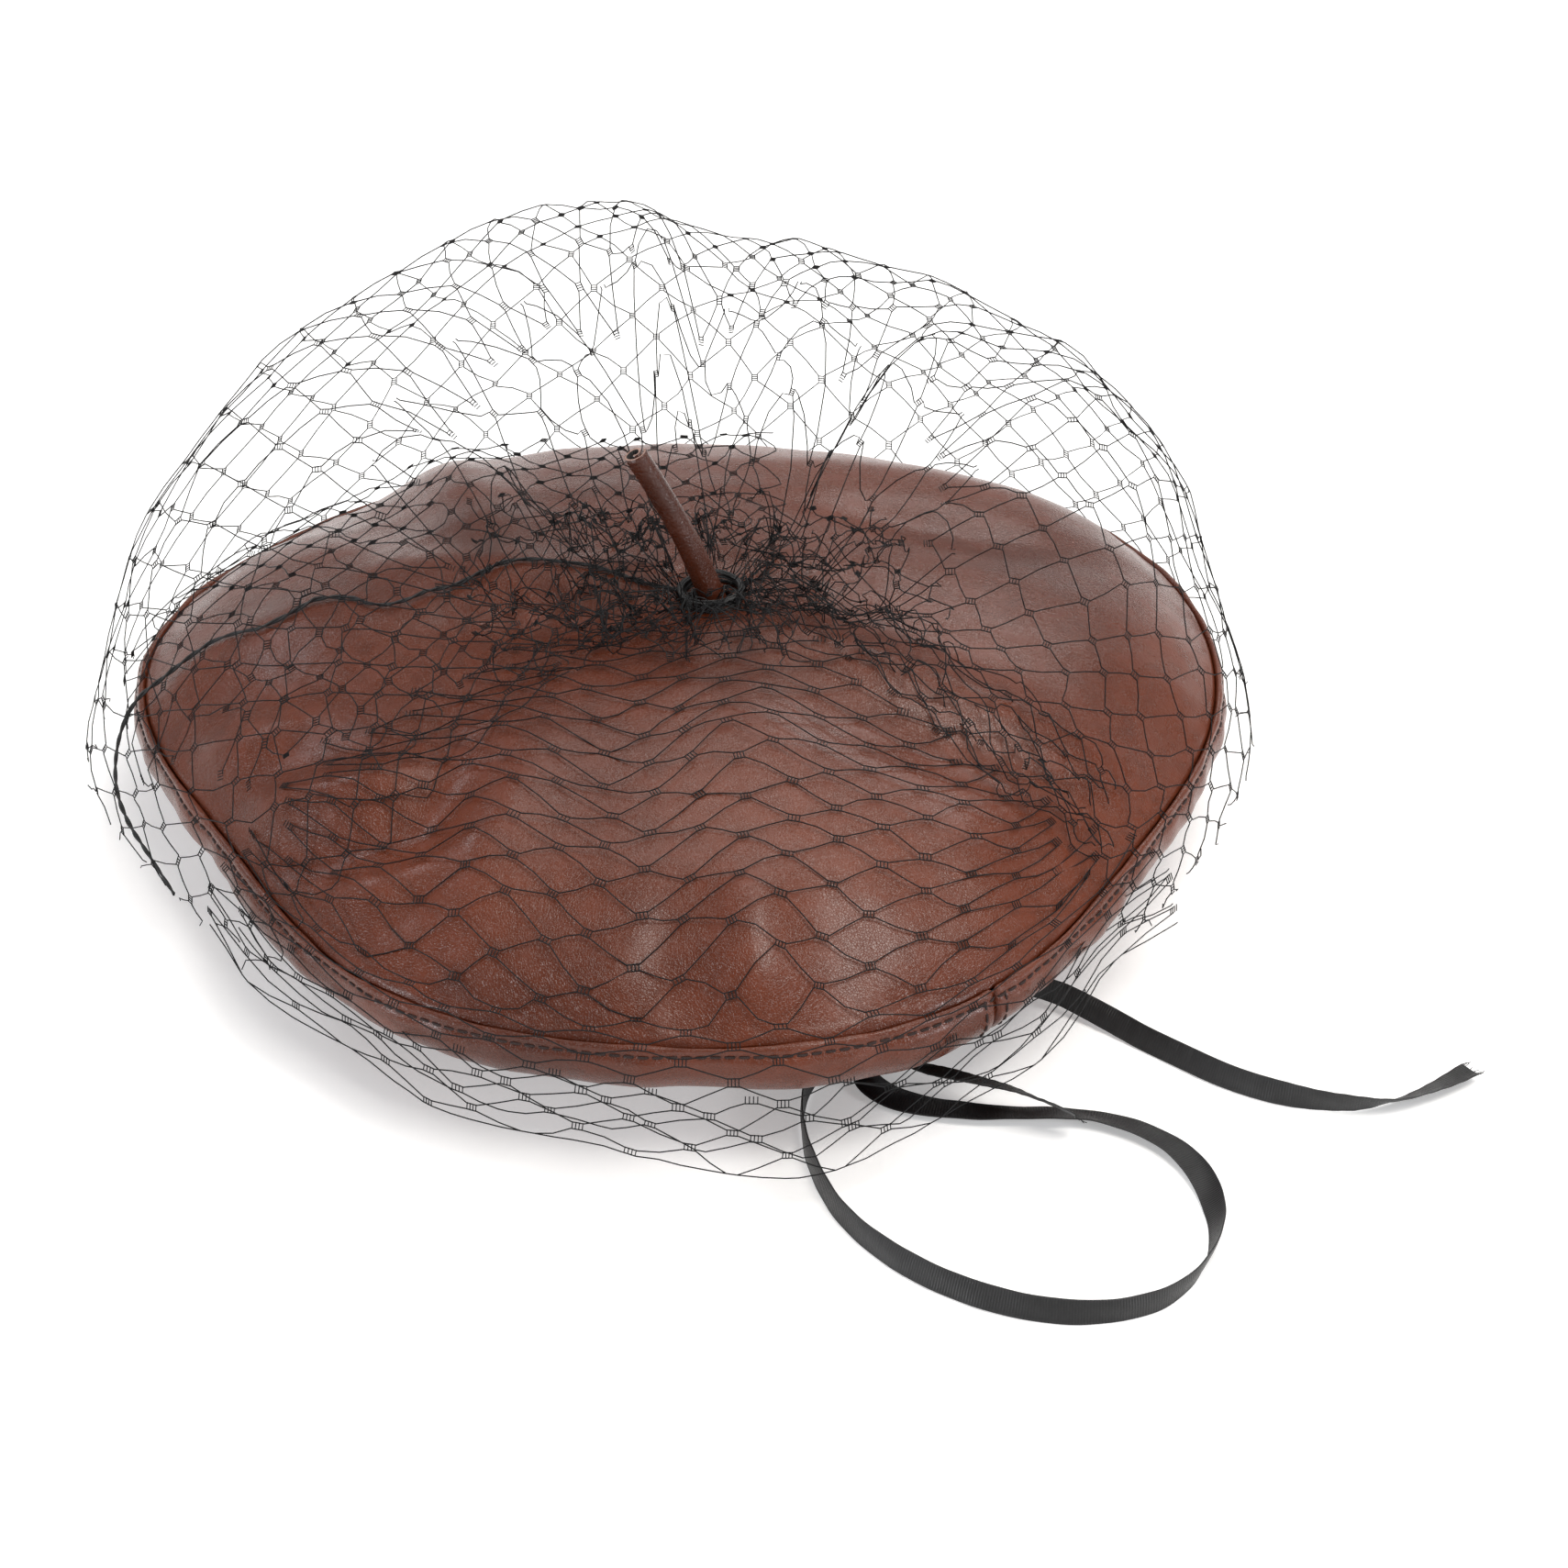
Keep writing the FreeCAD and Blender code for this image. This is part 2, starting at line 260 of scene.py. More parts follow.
def crown_sheet(drop=0.0, rows=92, columns=420, hole=STEM_HOLE_R):
    a = np.linspace(0.0, 360.0, columns, endpoint=False)[None, :]
    seam = seam_radius(a)
    edge = seam - 3.0 * min(drop, 1.0)
    lengthwise = np.cos(np.radians(a))
    hole = hole + (1.6 - 0.3 * lengthwise) * lengthwise ** 2      # room for the stem to lean
    # the last rows lie close together, where the leather turns in to the seam
    near = np.array((2.9, 2.3, 1.7, 1.2, 0.8, 0.5, 0.2, 0.0))[:, None]
    share = np.linspace(0.0, 1.0, rows - len(near))[:, None] ** 0.85
    r = np.concatenate([hole + (edge - 3.6 - hole) * share, edge - near])
    x, y = on_circle(r, a)
    inside = seam - r
    z = crown_height(x, y) - drop
    z = z + 1.5 * pulls(a) * np.exp(-((inside - 7.5) / 5.5) ** 2)
    z = z + 0.55 * pulls(a + 40.0) * np.exp(-((inside - 19.0) / 9.0) ** 2)
    if not drop:
        z = z + 0.35 * np.exp(-((inside - 1.2) / 0.9) ** 2) - 0.45 * smooth(inside, 0.6, 0.0)
        z = z + 0.50 * puckers(a) * np.exp(-inside / 5.0) * smooth(inside, 0.0, 1.5)
    return np.stack([x, y, z], -1), grid_faces(rows, columns, wrap=True, flip=True)


def distance_along(line):
    """How far along a line of points each point is."""
    return np.concatenate([[0.0], np.cumsum(np.linalg.norm(np.diff(line, axis=0), axis=1))])


def read_at(places, along, line):
    """The points at these distances along a line."""
    return np.stack([np.interp(places, along, line[:, k]) for k in range(3)], -1)


def through(points, places):
    """A smooth line through points of any dimension, read at places from 0 to 1."""
    points = np.asarray(points, float)
    ends = np.concatenate([2 * points[:1] - points[1:2], points, 2 * points[-1:] - points[-2:-1]])
    place = np.clip(np.asarray(places, float), 0.0, 1.0) * (len(points) - 1)
    k = np.minimum(place.astype(int), len(points) - 2)
    t = (place - k)[..., None]
    a, b, c, d = (ends[k + n] for n in range(4))
    return 0.5 * (2 * b + (c - a) * t + (2 * a - 5 * b + 4 * c - d) * t ** 2
                  + (3 * b - a - 3 * c + d) * t ** 3)


# The rim panel from the seam round under the hat to the headband. Each point is (out, share, z):
# out is the distance outside the seam, share is how much of the way from the headband to the seam.
RIM_PROFILE = (
    (-0.9, 1.0, 31.2), (0.3, 1.0, 33.0), (1.7, 1.0, 33.2), (2.9, 1.0, 30.6), (3.1, 1.0, 26.0),
    (0.6, 1.0, 21.6), (0.0, 0.90, 18.6), (0.0, 0.74, 17.2), (0.0, 0.55, 17.2),
    (0.0, 0.34, 19.2), (0.0, 0.15, 23.0), (0.0, 0.0, 27.6),
)
RIM_STITCH_AT = 0.235          # where along that profile the topstitch runs
SIDE_STITCH_AT = 3.2           # how far each row of stitches is from its side seam
SIDE_SEAMS = (BACK_SEAM, BACK_SEAM + 180.0)


def rim_radius(degrees, place):
    profile = through(RIM_PROFILE, place)
    return BAND_R + (seam_radius(degrees) - BAND_R) * profile[..., 1] + profile[..., 0]


def rim_point(degrees, place, lift=0.0):
    """The underside's surface at an angle and a place from 0, the seam, to 1, the headband."""
    degrees, place = np.broadcast_arrays(np.asarray(degrees, float), np.asarray(place, float))
    ahead = through(RIM_PROFILE, place + 0.004)
    behind = through(RIM_PROFILE, place - 0.004)
    r = rim_radius(degrees, place)
    z = through(RIM_PROFILE, place)[..., 2]
    width = seam_radius(degrees) - BAND_R
    dr = (ahead[..., 1] - behind[..., 1]) * width + ahead[..., 0] - behind[..., 0]
    dz = ahead[..., 2] - behind[..., 2]
    size = np.hypot(dr, dz) + TINY
    out_r, out_z = -dz / size, dr / size
    wall = np.exp(-((place - 0.30) / 0.16) ** 2)
    swell = (0.45 * puckers(degrees, 1.1) + 1.25 * pulls(degrees - 3.0)) * wall
    swell = swell + 0.9 * waves(*on_circle(r, degrees), z, 52.0, 0.4) * smooth(place, 0.12, 0.4)
    swell = swell * smooth(place, 1.0, 0.9)
    # the topstitch pulls the leather in, and a welt stands up between it and the seam
    swell = swell - 0.60 * np.exp(-((place - RIM_STITCH_AT) / 0.018) ** 2)
    swell = swell + 0.70 * np.exp(-((place - 0.14) / 0.045) ** 2)
    for at in SIDE_SEAMS:
        away = np.abs(turn_from(degrees, at)) * np.pi / 180.0 * r
        swell = swell - 0.75 * np.exp(-(away / 0.8) ** 2) + 0.25 * np.exp(-((away - 1.9) / 1.0) ** 2)
        swell = swell - 0.15 * np.exp(-((away - SIDE_STITCH_AT) / 0.5) ** 2)
    return polar(r + (swell + lift) * out_r, degrees, z + (swell + lift) * out_z)


def underside_sheet(start, lift=0.0, rows=46, columns=250, first=0.0):
    """Half of the underside, from one side seam to the other, finest beside the seams."""
    half = np.linspace(-1.0, 1.0, columns)
    spread = 90.0 * (0.80 * half + 0.20 * np.sign(half) * (1.0 - (1.0 - np.abs(half)) ** 2))
    degrees = (start + 90.0 + spread)[None, :]
    place = (first + (1.0 - first) * np.linspace(0.0, 1.0, rows) ** 1.35)[:, None]
    return rim_point(degrees, place, lift), grid_faces(rows, columns, flip=True)


def stitches(line, out, stitch=2.3, gap=1.0, radius=0.36):
    """Sewn stitches along a line of points, each end dipping into the leather."""
    along = distance_along(line)
    count = max(int(along[-1] / (stitch + gap)), 1)
    pace = along[-1] / count
    offsets = np.array((0.0, 0.08, 0.35, 0.65, 0.92, 1.0)) * (pace - gap)
    places = np.arange(count)[:, None] * pace + gap / 2 + offsets[None, :]
    lift = np.array((-0.35, 0.0, 0.16, 0.16, 0.0, -0.35))
    paths = read_at(places, along, line) + read_at(places, along, out) * lift[None, :, None]
    return tubes(paths, radius, 6)


def sewn_row(degrees, place):
    """A row of stitches over the underside's surface."""
    base = rim_point(degrees, place)
    out = rim_point(degrees, place, 1.0) - base
    return stitches(base + 0.08 * out, out)


def side_stitching(at):
    """The two rows that hold one side seam flat, down the rim and under it."""
    parts = []
    for side in (-1.0, 1.0):
        place = np.linspace(0.20, 0.80, 60)
        parts.append(sewn_row(at + side * np.degrees(SIDE_STITCH_AT / rim_radius(at, place)), place))
    return joined(parts)


# ---- the stem --------------------------------------------------------------------------------
def stem_axis(s):
    """The middle of the stem at s from 0, its root, to 1, its tip: leaning, and slightly bowed."""
    lean = math.radians(STEM_LEAN)
    way = np.array((-math.sin(lean), 0.0, math.cos(lean)))
    side = np.array((math.cos(lean), 0.0, math.sin(lean)))
    s = np.asarray(s, float)[..., None]
    return STEM_ROOT + way * (STEM_L * s) + side * (1.1 * np.sin(np.pi * s))


def stem_roll():
    """A leather strip rolled up into the stem, as a sheet that is thickened afterwards."""
    rows, columns = 46, 56
    s = np.linspace(-0.10, 1.0, rows)[:, None]
    turn = np.linspace(0.0, 1.0, columns)[None, :]
    angle = 2.0 * np.pi * (1.34 * turn - 0.06) + math.radians(262.0) + 0.25 * s
    radius = 1.15 + 1.55 * smooth(turn, 0.0, 0.45)
    radius = radius * (1.0 + 0.20 * (1.0 - s) ** 2) * (1.0 + 0.02 * np.sin(9 * s))
    radius = radius + 0.80 * smooth(turn, 0.60, 0.86) + 0.10 * np.sin(3 * angle + 4.0 * s)
    radius = radius * 0.92
    lean = math.radians(STEM_LEAN)
    side = np.array((math.cos(lean), 0.0, math.sin(lean)))
    back = np.array((0.0, 1.0, 0.0))
    middle = stem_axis(s[:, 0])[:, None, :]
    points = middle + (radius * np.cos(angle))[..., None] * side + (radius * np.sin(angle))[..., None] * back
    return points, grid_faces(rows, columns)


# ---- ribbons and threads ---------------------------------------------------------------------
RIBBON_LOOP = (
    (46.0, -86.2, 8.0), (36.0, -91.5, 5.0), (26.0, -100.0, 2.6), (22.0, -114.0, 2.1),
    (23.0, -133.0, 2.1), (32.0, -158.0, 2.1), (54.0, -178.0, 2.1), (82.0, -188.0, 2.1),
    (106.0, -182.0, 2.1), (118.0, -159.0, 2.1), (113.0, -131.0, 2.1), (93.0, -117.0, 2.1),
    (66.0, -117.5, 2.1), (46.0, -114.0, 2.1), (37.0, -106.0, 2.3), (36.8, -98.0, 3.2),
    (42.0, -92.5, 4.6), (49.5, -88.5, 6.0),
)
RIBBON_TAIL_SHORT = (
    (56.0, -85.2, 7.5), (52.5, -93.0, 7.0), (45.0, -100.0, 6.6), (48.0, -108.5, 9.4),
    (62.0, -114.5, 10.2), (75.0, -119.5, 10.2), (86.0, -124.5, 7.5),
)
RIBBON_TAIL_LONG = (
    (55.0, -80.6, 8.0), (68.0, -75.5, 8.0), (82.0, -74.0, 6.0), (94.0, -81.0, 3.6),
    (108.0, -92.5, 2.1), (128.0, -108.5, 2.1), (151.0, -116.5, 2.1), (169.0, -111.0, 2.1),
    (182.0, -101.0, 2.1),
)
GATHER_THREAD = (
    (-8.6, 0.9, 73.0), (-19.0, 5.0, 72.6), (-36.0, 13.0, 72.2), (-56.0, 16.0, 70.2),
    (-68.0, 7.0, 68.8), (-81.0, 5.0, 65.8), (-93.0, 13.0, 62.6), (-110.0, 7.0, 56.8),
    (-127.0, 12.0, 50.0), (-140.0, 9.0, 43.6), (-149.0, 3.0, 37.6), (-152.6, -4.0, 30.0),
    (-152.6, -13.0, 22.5), (-148.0, -24.0, 19.0), (-141.0, -37.0, 19.0), (-133.0, -50.0, 16.0),
)
# How far each ribbon leans from upright at even steps along it, in degrees, away from its left.
LOOP_LEAN = (60, 30, 5, -8, -12, -22, -30, -28, -12, 4, 30, 70, 95, 105, 95, 75, 55, 40)
SHORT_LEAN = (10, 30, 60, 72, 66, 48, 40)
LONG_LEAN = (30, 10, -30, -38, -36, -25, 10, 55, 80)


def route_points(route, count):
    """Even points along the smooth curve that a cord's route gives."""
    curve = bpy.data.curves.new("route", "CURVE")
    curve.dimensions, curve.resolution_u = "3D", 24
    spline = curve.splines.new("NURBS")
    spline.points.add(len(route) - 1)
    for point, place in zip(spline.points, route):
        point.co = (*place, 1.0)
    spline.order_u, spline.use_endpoint_u = 3, True
    holder = bpy.data.objects.new("route", curve)
    line = bpy.data.meshes.new_from_object(holder)
    points = np.array([tuple(v.co) for v in line.vertices])
    bpy.data.objects.remove(holder)
    bpy.data.curves.remove(curve)
    bpy.data.meshes.remove(line)
    along = distance_along(points)
    return read_at(np.linspace(0.0, along[-1], count), along, points), along[-1]


def ribbon(name, route, lean, step=1.3):
    """A satin ribbon on its edge along a route, with its woven edges a little thicker."""
    _, length = route_points(route, 9)
    count = int(length / step)
    path, length = route_points(route, count)
    tangent = unit(np.gradient(path, axis=0))
    left = unit(np.cross(UP, tangent))
    place = np.linspace(0.0, 1.0, count)
    angle = np.radians(through(np.array(lean, float)[:, None], place)[:, 0])
    up = np.cross(tangent, left)
    wide = up * np.cos(angle)[:, None] - left * np.sin(angle)[:, None]
    face = np.cross(tangent, wide)
    # it stands on what is under it, so its middle is half its height above
    rise = 0.5 * RIBBON_W * np.abs(wide[:, 2]) + 0.15
    path = path + UP * np.maximum(rise - path[:, 2], 0.0)[:, None]
    across = np.array((-1.0, -0.97, -0.9, -0.6, -0.2, 0.2, 0.6, 0.9, 0.97, 1.0))
    thick = np.array((0.62, 1.0, 0.72, 0.62, 0.62, 0.62, 0.62, 0.72, 1.0, 0.62)) * RIBBON_T / 2
    cup = 0.25 * (1.0 - across ** 2) + 0.12 * np.sin(2.6 * across)
    ripple = 0.10 * np.sin(path[:, :1] * 0.35 + across * 2.0) + 0.06 * np.sin(place[:, None] * 190.0)
    middle = path[:, None, :] + wide[:, None, :] * (across * RIBBON_W / 2)[None, :, None]
    middle = middle + face[:, None, :] * (cup + ripple)[..., None]
    front = middle + face[:, None, :] * thick[None, :, None]
    rear = middle - face[:, None, :] * thick[None, :, None]
    ring = np.concatenate([front, rear[:, ::-1]], axis=1)
    sides = ring.shape[1]
    points, faces = ring.reshape(-1, 3), grid_faces(count, sides, wrap=True)
    # a ribbon end that was cut shows its threads; an end in the knot doesn't
    strands = [] if route is RIBBON_LOOP else frayed_end(ring[-1], tangent[-1])
    piece = mesh_piece(name, *joined([(points, faces)] + strands))
    along = np.repeat(place * length, sides)
    over = np.tile(np.concatenate([across, across[::-1]]) * RIBBON_W / 2, count)
    extra = len(piece.data.vertices) - len(along)
    for label, values in (("along", along), ("over", over)):
        layer = piece.data.attributes.new(label, "FLOAT", "POINT")
        layer.data.foreach_set("value", np.concatenate([values, np.zeros(extra)]).astype(np.float32))
    return piece, path, length


def frayed_end(ring, way):
    """Short loose threads that stand out of a ribbon's cut end."""
    draw = np.random.default_rng(41)
    starts = ring[np.linspace(1, len(ring) // 2 - 2, 9).astype(int)]
    starts = starts + draw.normal(0.0, 0.12, starts.shape)
    lengths = draw.uniform(0.6, 2.4, len(starts))[:, None, None]
    bend = draw.normal(0.0, 0.35, (len(starts), 1, 3))
    s = np.linspace(0.0, 1.0, 4)[None, :, None]
    paths = starts[:, None, :] + way * lengths * s + bend * s ** 2 * lengths * 0.6
    return [tubes(paths, 0.11, 5)]


def two_strands(name, route, radius=0.34, apart=0.26, turns=20):
    """A doubled thread: two strands lying loosely round each other."""
    path, length = route_points(route, 420)
    x, y = path[:, 0], path[:, 1]
    lying = np.hypot(x, y) < seam_radius(np.degrees(np.arctan2(y, x)))
    floor = crown_height(x, y) + 2.0 * radius + apart
    path[:, 2] = np.where(lying, np.maximum(path[:, 2], floor), path[:, 2])
    s = np.linspace(0.0, 1.0, len(path))
    tangent = unit(np.gradient(path, axis=0))
    side = unit(np.cross(tangent, UP))
    kinks = np.arcsin(np.sin(2.0 * np.pi * 7.0 * s + 0.5)) * smooth(s, 0.12, 0.25) * smooth(s, 0.72, 0.60)
    path = path + side * (1.3 * kinks)[:, None]
    up = np.cross(side, tangent)
    angle = 2.0 * np.pi * turns * s + 1.3 * np.sin(17.0 * s)
    way = np.cos(angle)[:, None] * side + np.sin(angle)[:, None] * up
    spread = apart * (1.0 + 0.25 * np.sin(31.0 * s))[:, None]
    points = np.stack([path + way * spread, path - way * spread])
    return mesh_piece(name, *tubes(points, radius, 6)), path, distance_along(path)[-1]


KNOT_R, KNOT_Z = 97.6, 8.0


def knot_wraps():
    """The ribbon's knot: the band's ribbon folded over itself three ways."""
    lengthwise = math.radians(BACK_SEAM)
    out = np.array((math.cos(lengthwise), math.sin(lengthwise), 0.0))
    side = np.array((-out[1], out[0], 0.0))
    middle = out * KNOT_R + UP * KNOT_Z
    parts = []
    for tilt, wide, deep, breadth, shift in (
        (0.20, 5.4, 3.5, 2.5, -1.6), (-0.25, 5.2, 3.2, 2.3, 1.9), (1.45, 3.4, 3.9, 2.3, 0.1),
    ):
        a = np.linspace(0.0, 2.0 * np.pi, 48, endpoint=False)
        v = np.linspace(-1.0, 1.0, 9)
        belly = 1.0 - 0.20 * v ** 2
        wave = 0.15 * np.sin(3 * a)[:, None] * v
        level = tilt < 1.0          # the third wrap stands upright over the other two
        ring_a = side * math.cos(tilt) + UP * math.sin(tilt)
        axis = np.cross(ring_a, out)
        surface = (
            ring_a * (np.cos(a)[:, None] * wide * belly + wave)[..., None] * (1.0 if level else 0.8)
            + out * (np.sin(a)[:, None] * deep * belly)[..., None]
            + axis * (v * breadth)[None, :, None] + axis * shift * (1.0 if level else 0.2)
        )
        turned = np.transpose(middle + surface, (1, 0, 2))
        parts.append((turned.reshape(-1, 3), grid_faces(9, 48, wrap=True)))
    return joined(parts)


# ---- the net ---------------------------------------------------------------------------------
# A net is threads that run in zigzags side by side. Where two meet they lie side by side for a
# short stretch, tied by four rungs. A surface function gives the place of a point at (run, across):
# run counts the meetings along a thread, across counts the columns of meetings.
def net(surface, runs, across, seed, keep=None, loose=0.45, slack=0.0, whiskers=True, ladder=1.0):
    """The threads of a net over a surface, as (points, faces).

    keep leaves threads out, loose lifts the meetings off the surface, slack bows the threads between
    them, whiskers cuts the last run off short, and ladder is the size of the double stretches.
    """
    draw = np.random.default_rng(seed)
    shift = draw.normal(0.0, 1.0, (runs + 1, 2 * across + 2, 2)) * 0.055
    lift = draw.normal(0.0, 1.0, (runs + 1, 2 * across + 2)) * loose
    run, thread = np.meshgrid(np.arange(runs + 1), np.arange(2 * across), indexing="ij")
    low = (run + thread) % 2 == 0
    twice = np.where(low, thread, thread + 1)
    side = np.where(low, 1.0, -1.0)[..., None]

    def node(twice_b, i):
        u = i + shift[i, twice_b, 0]
        v = 0.5 * twice_b + shift[i, twice_b, 1]
        here = surface(u, v)
        along = surface(u + 0.02, v) - surface(u - 0.02, v)
        over = surface(u, v + 0.02) - surface(u, v - 0.02)
        along = unit(along, TINY)
        over = unit(over - along * np.sum(along * over, axis=-1, keepdims=True), TINY)
        out = np.cross(along, over)
        return u, v, here + out * lift[i, twice_b][..., None], along, over

    u, v, place, along, over = node(twice, run)
    radius = NET_D / 2
    width = draw.uniform(0.85, 1.2, shift.shape[:2])[run, twice][..., None] * ladder * LADDER_W / 2
    length = draw.uniform(0.85, 1.15, shift.shape[:2])[run, twice][..., None] * ladder * LADDER_L / 2
    stand = place + over * side * width
    leave = stand[:-1] + along[:-1] * length[:-1]
    arrive = stand[1:] - along[1:] * length[1:]
    half_u, half_v = (u[:-1] + u[1:]) / 2, (v[:-1] + v[1:]) / 2
    # between two meetings a thread follows the surface, bowed out by its slack
    bow = draw.normal(0.0, 0.22 + slack, half_u.shape + (3,)) * (0.6, 0.6, 0.8)
    first_off = place[:-1] - surface(u[:-1], v[:-1])
    last_off = place[1:] - surface(u[1:], v[1:])
    between = []
    for t in ((0.2, 0.5, 0.8) if slack else (0.5,)):
        on = surface(u[:-1] + (u[1:] - u[:-1]) * t, v[:-1] + (v[1:] - v[:-1]) * t)
        between.append(on + first_off * (1.0 - t) + last_off * t + bow * math.sin(math.pi * t))
    paths = np.stack([stand[:-1], leave, *between, arrive, stand[1:]], axis=2)
    kept = np.ones(paths.shape[:2], bool) if keep is None else keep(half_u, half_v)
    if whiskers:
        # the last stretch of each thread is cut short, and curls
        cut = draw.uniform(0.30, 0.95, (1, paths.shape[1], 1, 1))
        bend = np.linspace(0.0, 1.0, paths.shape[2])[None, None, :, None] ** 2
        curl = draw.normal(0.0, 1.1, (1, paths.shape[1], 1, 3)) * bend
        paths[-1:] = paths[-1:, :, :1] + (paths[-1:] - paths[-1:, :, :1]) * cut + curl
    parts = [tubes(paths[kept], radius)]
    # four rungs, once for each meeting
    first = low & (np.pad(kept, ((0, 1), (0, 0))) | np.pad(kept, ((1, 0), (0, 0))))
    first[-1] = False
    centre, way, cross = place[first], along[first], over[first]
    reach = width[first] + 0.12
    for step in (-0.85, -0.28, 0.28, 0.85):
        spot = centre + way * length[first] * step
        parts.append(tubes(np.stack([spot - cross * reach, spot + cross * reach], axis=1), radius * 0.85))
    return joined(parts)


# How far outside the seam the net's hem hangs, and how high: (degrees, out, z)
HEM = np.array((
    (-180.0, 18.0, 14.0), (-162.0, 15.0, 16.0), (-145.0, 9.5, 22.0), (-125.0, 8.5, 23.0),
    (-110.0, 11.0, 18.0), (-95.0, 14.5, 11.0), (-80.0, 14.0, 11.0), (-62.0, 9.5, 17.0),
    (-45.0, 8.5, 20.0), (-30.0, 9.5, 18.0), (0.0, 10.0, 14.0), (90.0, 14.0, 12.0), (180.0, 18.0, 14.0),
))


def hem_at(degrees):
    """How far outside the seam the hem is, and its height, at each angle."""
    turn = turn_from(np.asarray(degrees, float), 0.0)
    return np.interp(turn, HEM[:, 0], HEM[:, 1]), np.interp(turn, HEM[:, 0], HEM[:, 2])


def skirt_radius(degrees):
    return seam_radius(degrees) + hem_at(degrees)[0]


# The net over the back and over the sides: (share of the skirt's radius, share of the height)
POUF_BACK = ((0.17, 0.60), (0.24, 0.72), (0.35, 0.88), (0.46, 0.98), (0.57, 1.0), (0.70, 0.94), (0.82, 0.80),
             (0.92, 0.58), (0.98, 0.32), (1.0, 0.14), (0.99, 0.0))
POUF_SIDE = ((0.16, 0.58), (0.23, 0.70), (0.35, 0.86), (0.50, 0.97), (0.62, 1.0), (0.74, 0.95), (0.84, 0.76),
             (0.92, 0.52), (0.975, 0.28), (1.0, 0.12), (0.99, 0.0))
# and how high that is at each angle
POUF_TALL = np.array((
    (-40.0, 0.70), (7.0, 0.72), (22.0, 0.80), (50.0, 0.86), (75.0, 0.93), (107.0, 0.975),
    (137.0, 0.93), (154.0, 0.89), (166.0, 0.78), (182.0, 0.66), (226.0, 0.60),
))
POUF_HEIGHT, POUF_FOOT = 120.0, 14.0
POUF_RADIUS = 155.0            # its mean radius, used to space the rows evenly


def lying_line(degrees, place, lift=1.3):
    """The net where it lies on the crown and hangs over the rim: (r, z) at a place from 0 to 1."""
    seam, skirt = seam_radius(degrees), skirt_radius(degrees)
    crown_share, first, inset = 0.74, 9.0, 5.0
    s = np.clip(place / crown_share, 0.0, 1.0)
    r = first + (seam - inset - first) * s
    z = crown_height(*on_circle(r, degrees)) + lift
    t = np.clip((place - crown_share) / (1.0 - crown_share), 0.0, 1.0)
    over = skirt - (seam - inset)
    r = np.where(t > 0, seam - inset + over * np.sin(0.5 * np.pi * t) ** 0.8, r)
    z = np.where(t > 0, z - (z - hem_at(degrees)[1]) * (1.0 - np.cos(0.5 * np.pi * t)) ** 0.92, z)
    return r, z


BACK_FROM, BACK_TO = -38.0, 224.0


def back_surface(runs, across):
    """The net over the back: a high pouf that comes down to the crown at both its side edges."""
    pace = np.linspace(0.0, 1.0, 400)
    along = distance_along(through(POUF_BACK, pace) * (POUF_RADIUS, POUF_HEIGHT))
    along /= along[-1]

    def surface(u, v):
        place = np.asarray(u, float) / runs
        degrees = BACK_FROM + (BACK_TO - BACK_FROM) * np.asarray(v, float) / across
        place, degrees = np.broadcast_arrays(place, degrees)
        at = np.interp(place, along, pace)
        side = np.cos(np.radians(degrees))[..., None] ** 2
        profile = through(POUF_BACK, at) * (1.0 - side) + through(POUF_SIDE, at) * side
        r = skirt_radius(degrees) * profile[..., 0]
        z = POUF_FOOT + POUF_HEIGHT * profile[..., 1] * np.interp(degrees, POUF_TALL[:, 0], POUF_TALL[:, 1])
        lying_r, lying_z = lying_line(degrees, place)
        raised = smooth(degrees, -36.0, 24.0) * smooth(degrees, 222.0, 168.0)
        # the fullness gathered in at the stem opens out into flutes
        gather = np.exp(-((r - 40.0) / 34.0) ** 2)
        a = np.radians(degrees)
        flute = (np.sin(11 * a + 0.6) + 0.6 * np.sin(17 * a + 1.9)) * gather
        wide = np.exp(-((place - 0.45) / 0.30) ** 2)
        broad = (3.2 * np.cos(4.0 * a - 1.54) + 2.2 * np.cos(7.0 * a + 5.17)) * wide
        r_up = r + 5.0 * flute + 2.2 * np.cos(5 * a + 1.0) * smooth(place, 0.6, 0.9)
        z_up = z + 12.0 * flute + broad
        wrinkle = 2.4 * waves(*on_circle(r_up, degrees), z_up, 58.0, 0.3)
        r_up, z_up = r_up + wrinkle * smooth(place, 0.0, 0.2), z_up + wrinkle * smooth(place, 1.0, 0.8)
        r_all = lying_r + (r_up - lying_r) * raised
        z_all = lying_z + (z_up - lying_z) * raised
        x, y = on_circle(r_all, degrees)
        inside = r_all < seam_radius(degrees) - 3.0
        z_all = np.where(inside, np.maximum(z_all, crown_height(x, y) + 1.2), z_all)
        z_all = clear_of_stem(x, y, z_all)
        return polar(r_all, degrees, np.maximum(z_all, 3.0))

    return surface


FRONT_X = (-112.0, 114.0)
FRONT_TOP = -6.0               # the y where the front net's rows begin, under the gathers


def rim_y(x):
    """The front of the seam's outline at each x."""
    a = np.linspace(-180.0, 0.0, 721)
    seam_x, seam_y = on_circle(seam_radius(a), a)
    order = np.argsort(seam_x)
    return np.interp(x, seam_x[order], seam_y[order])


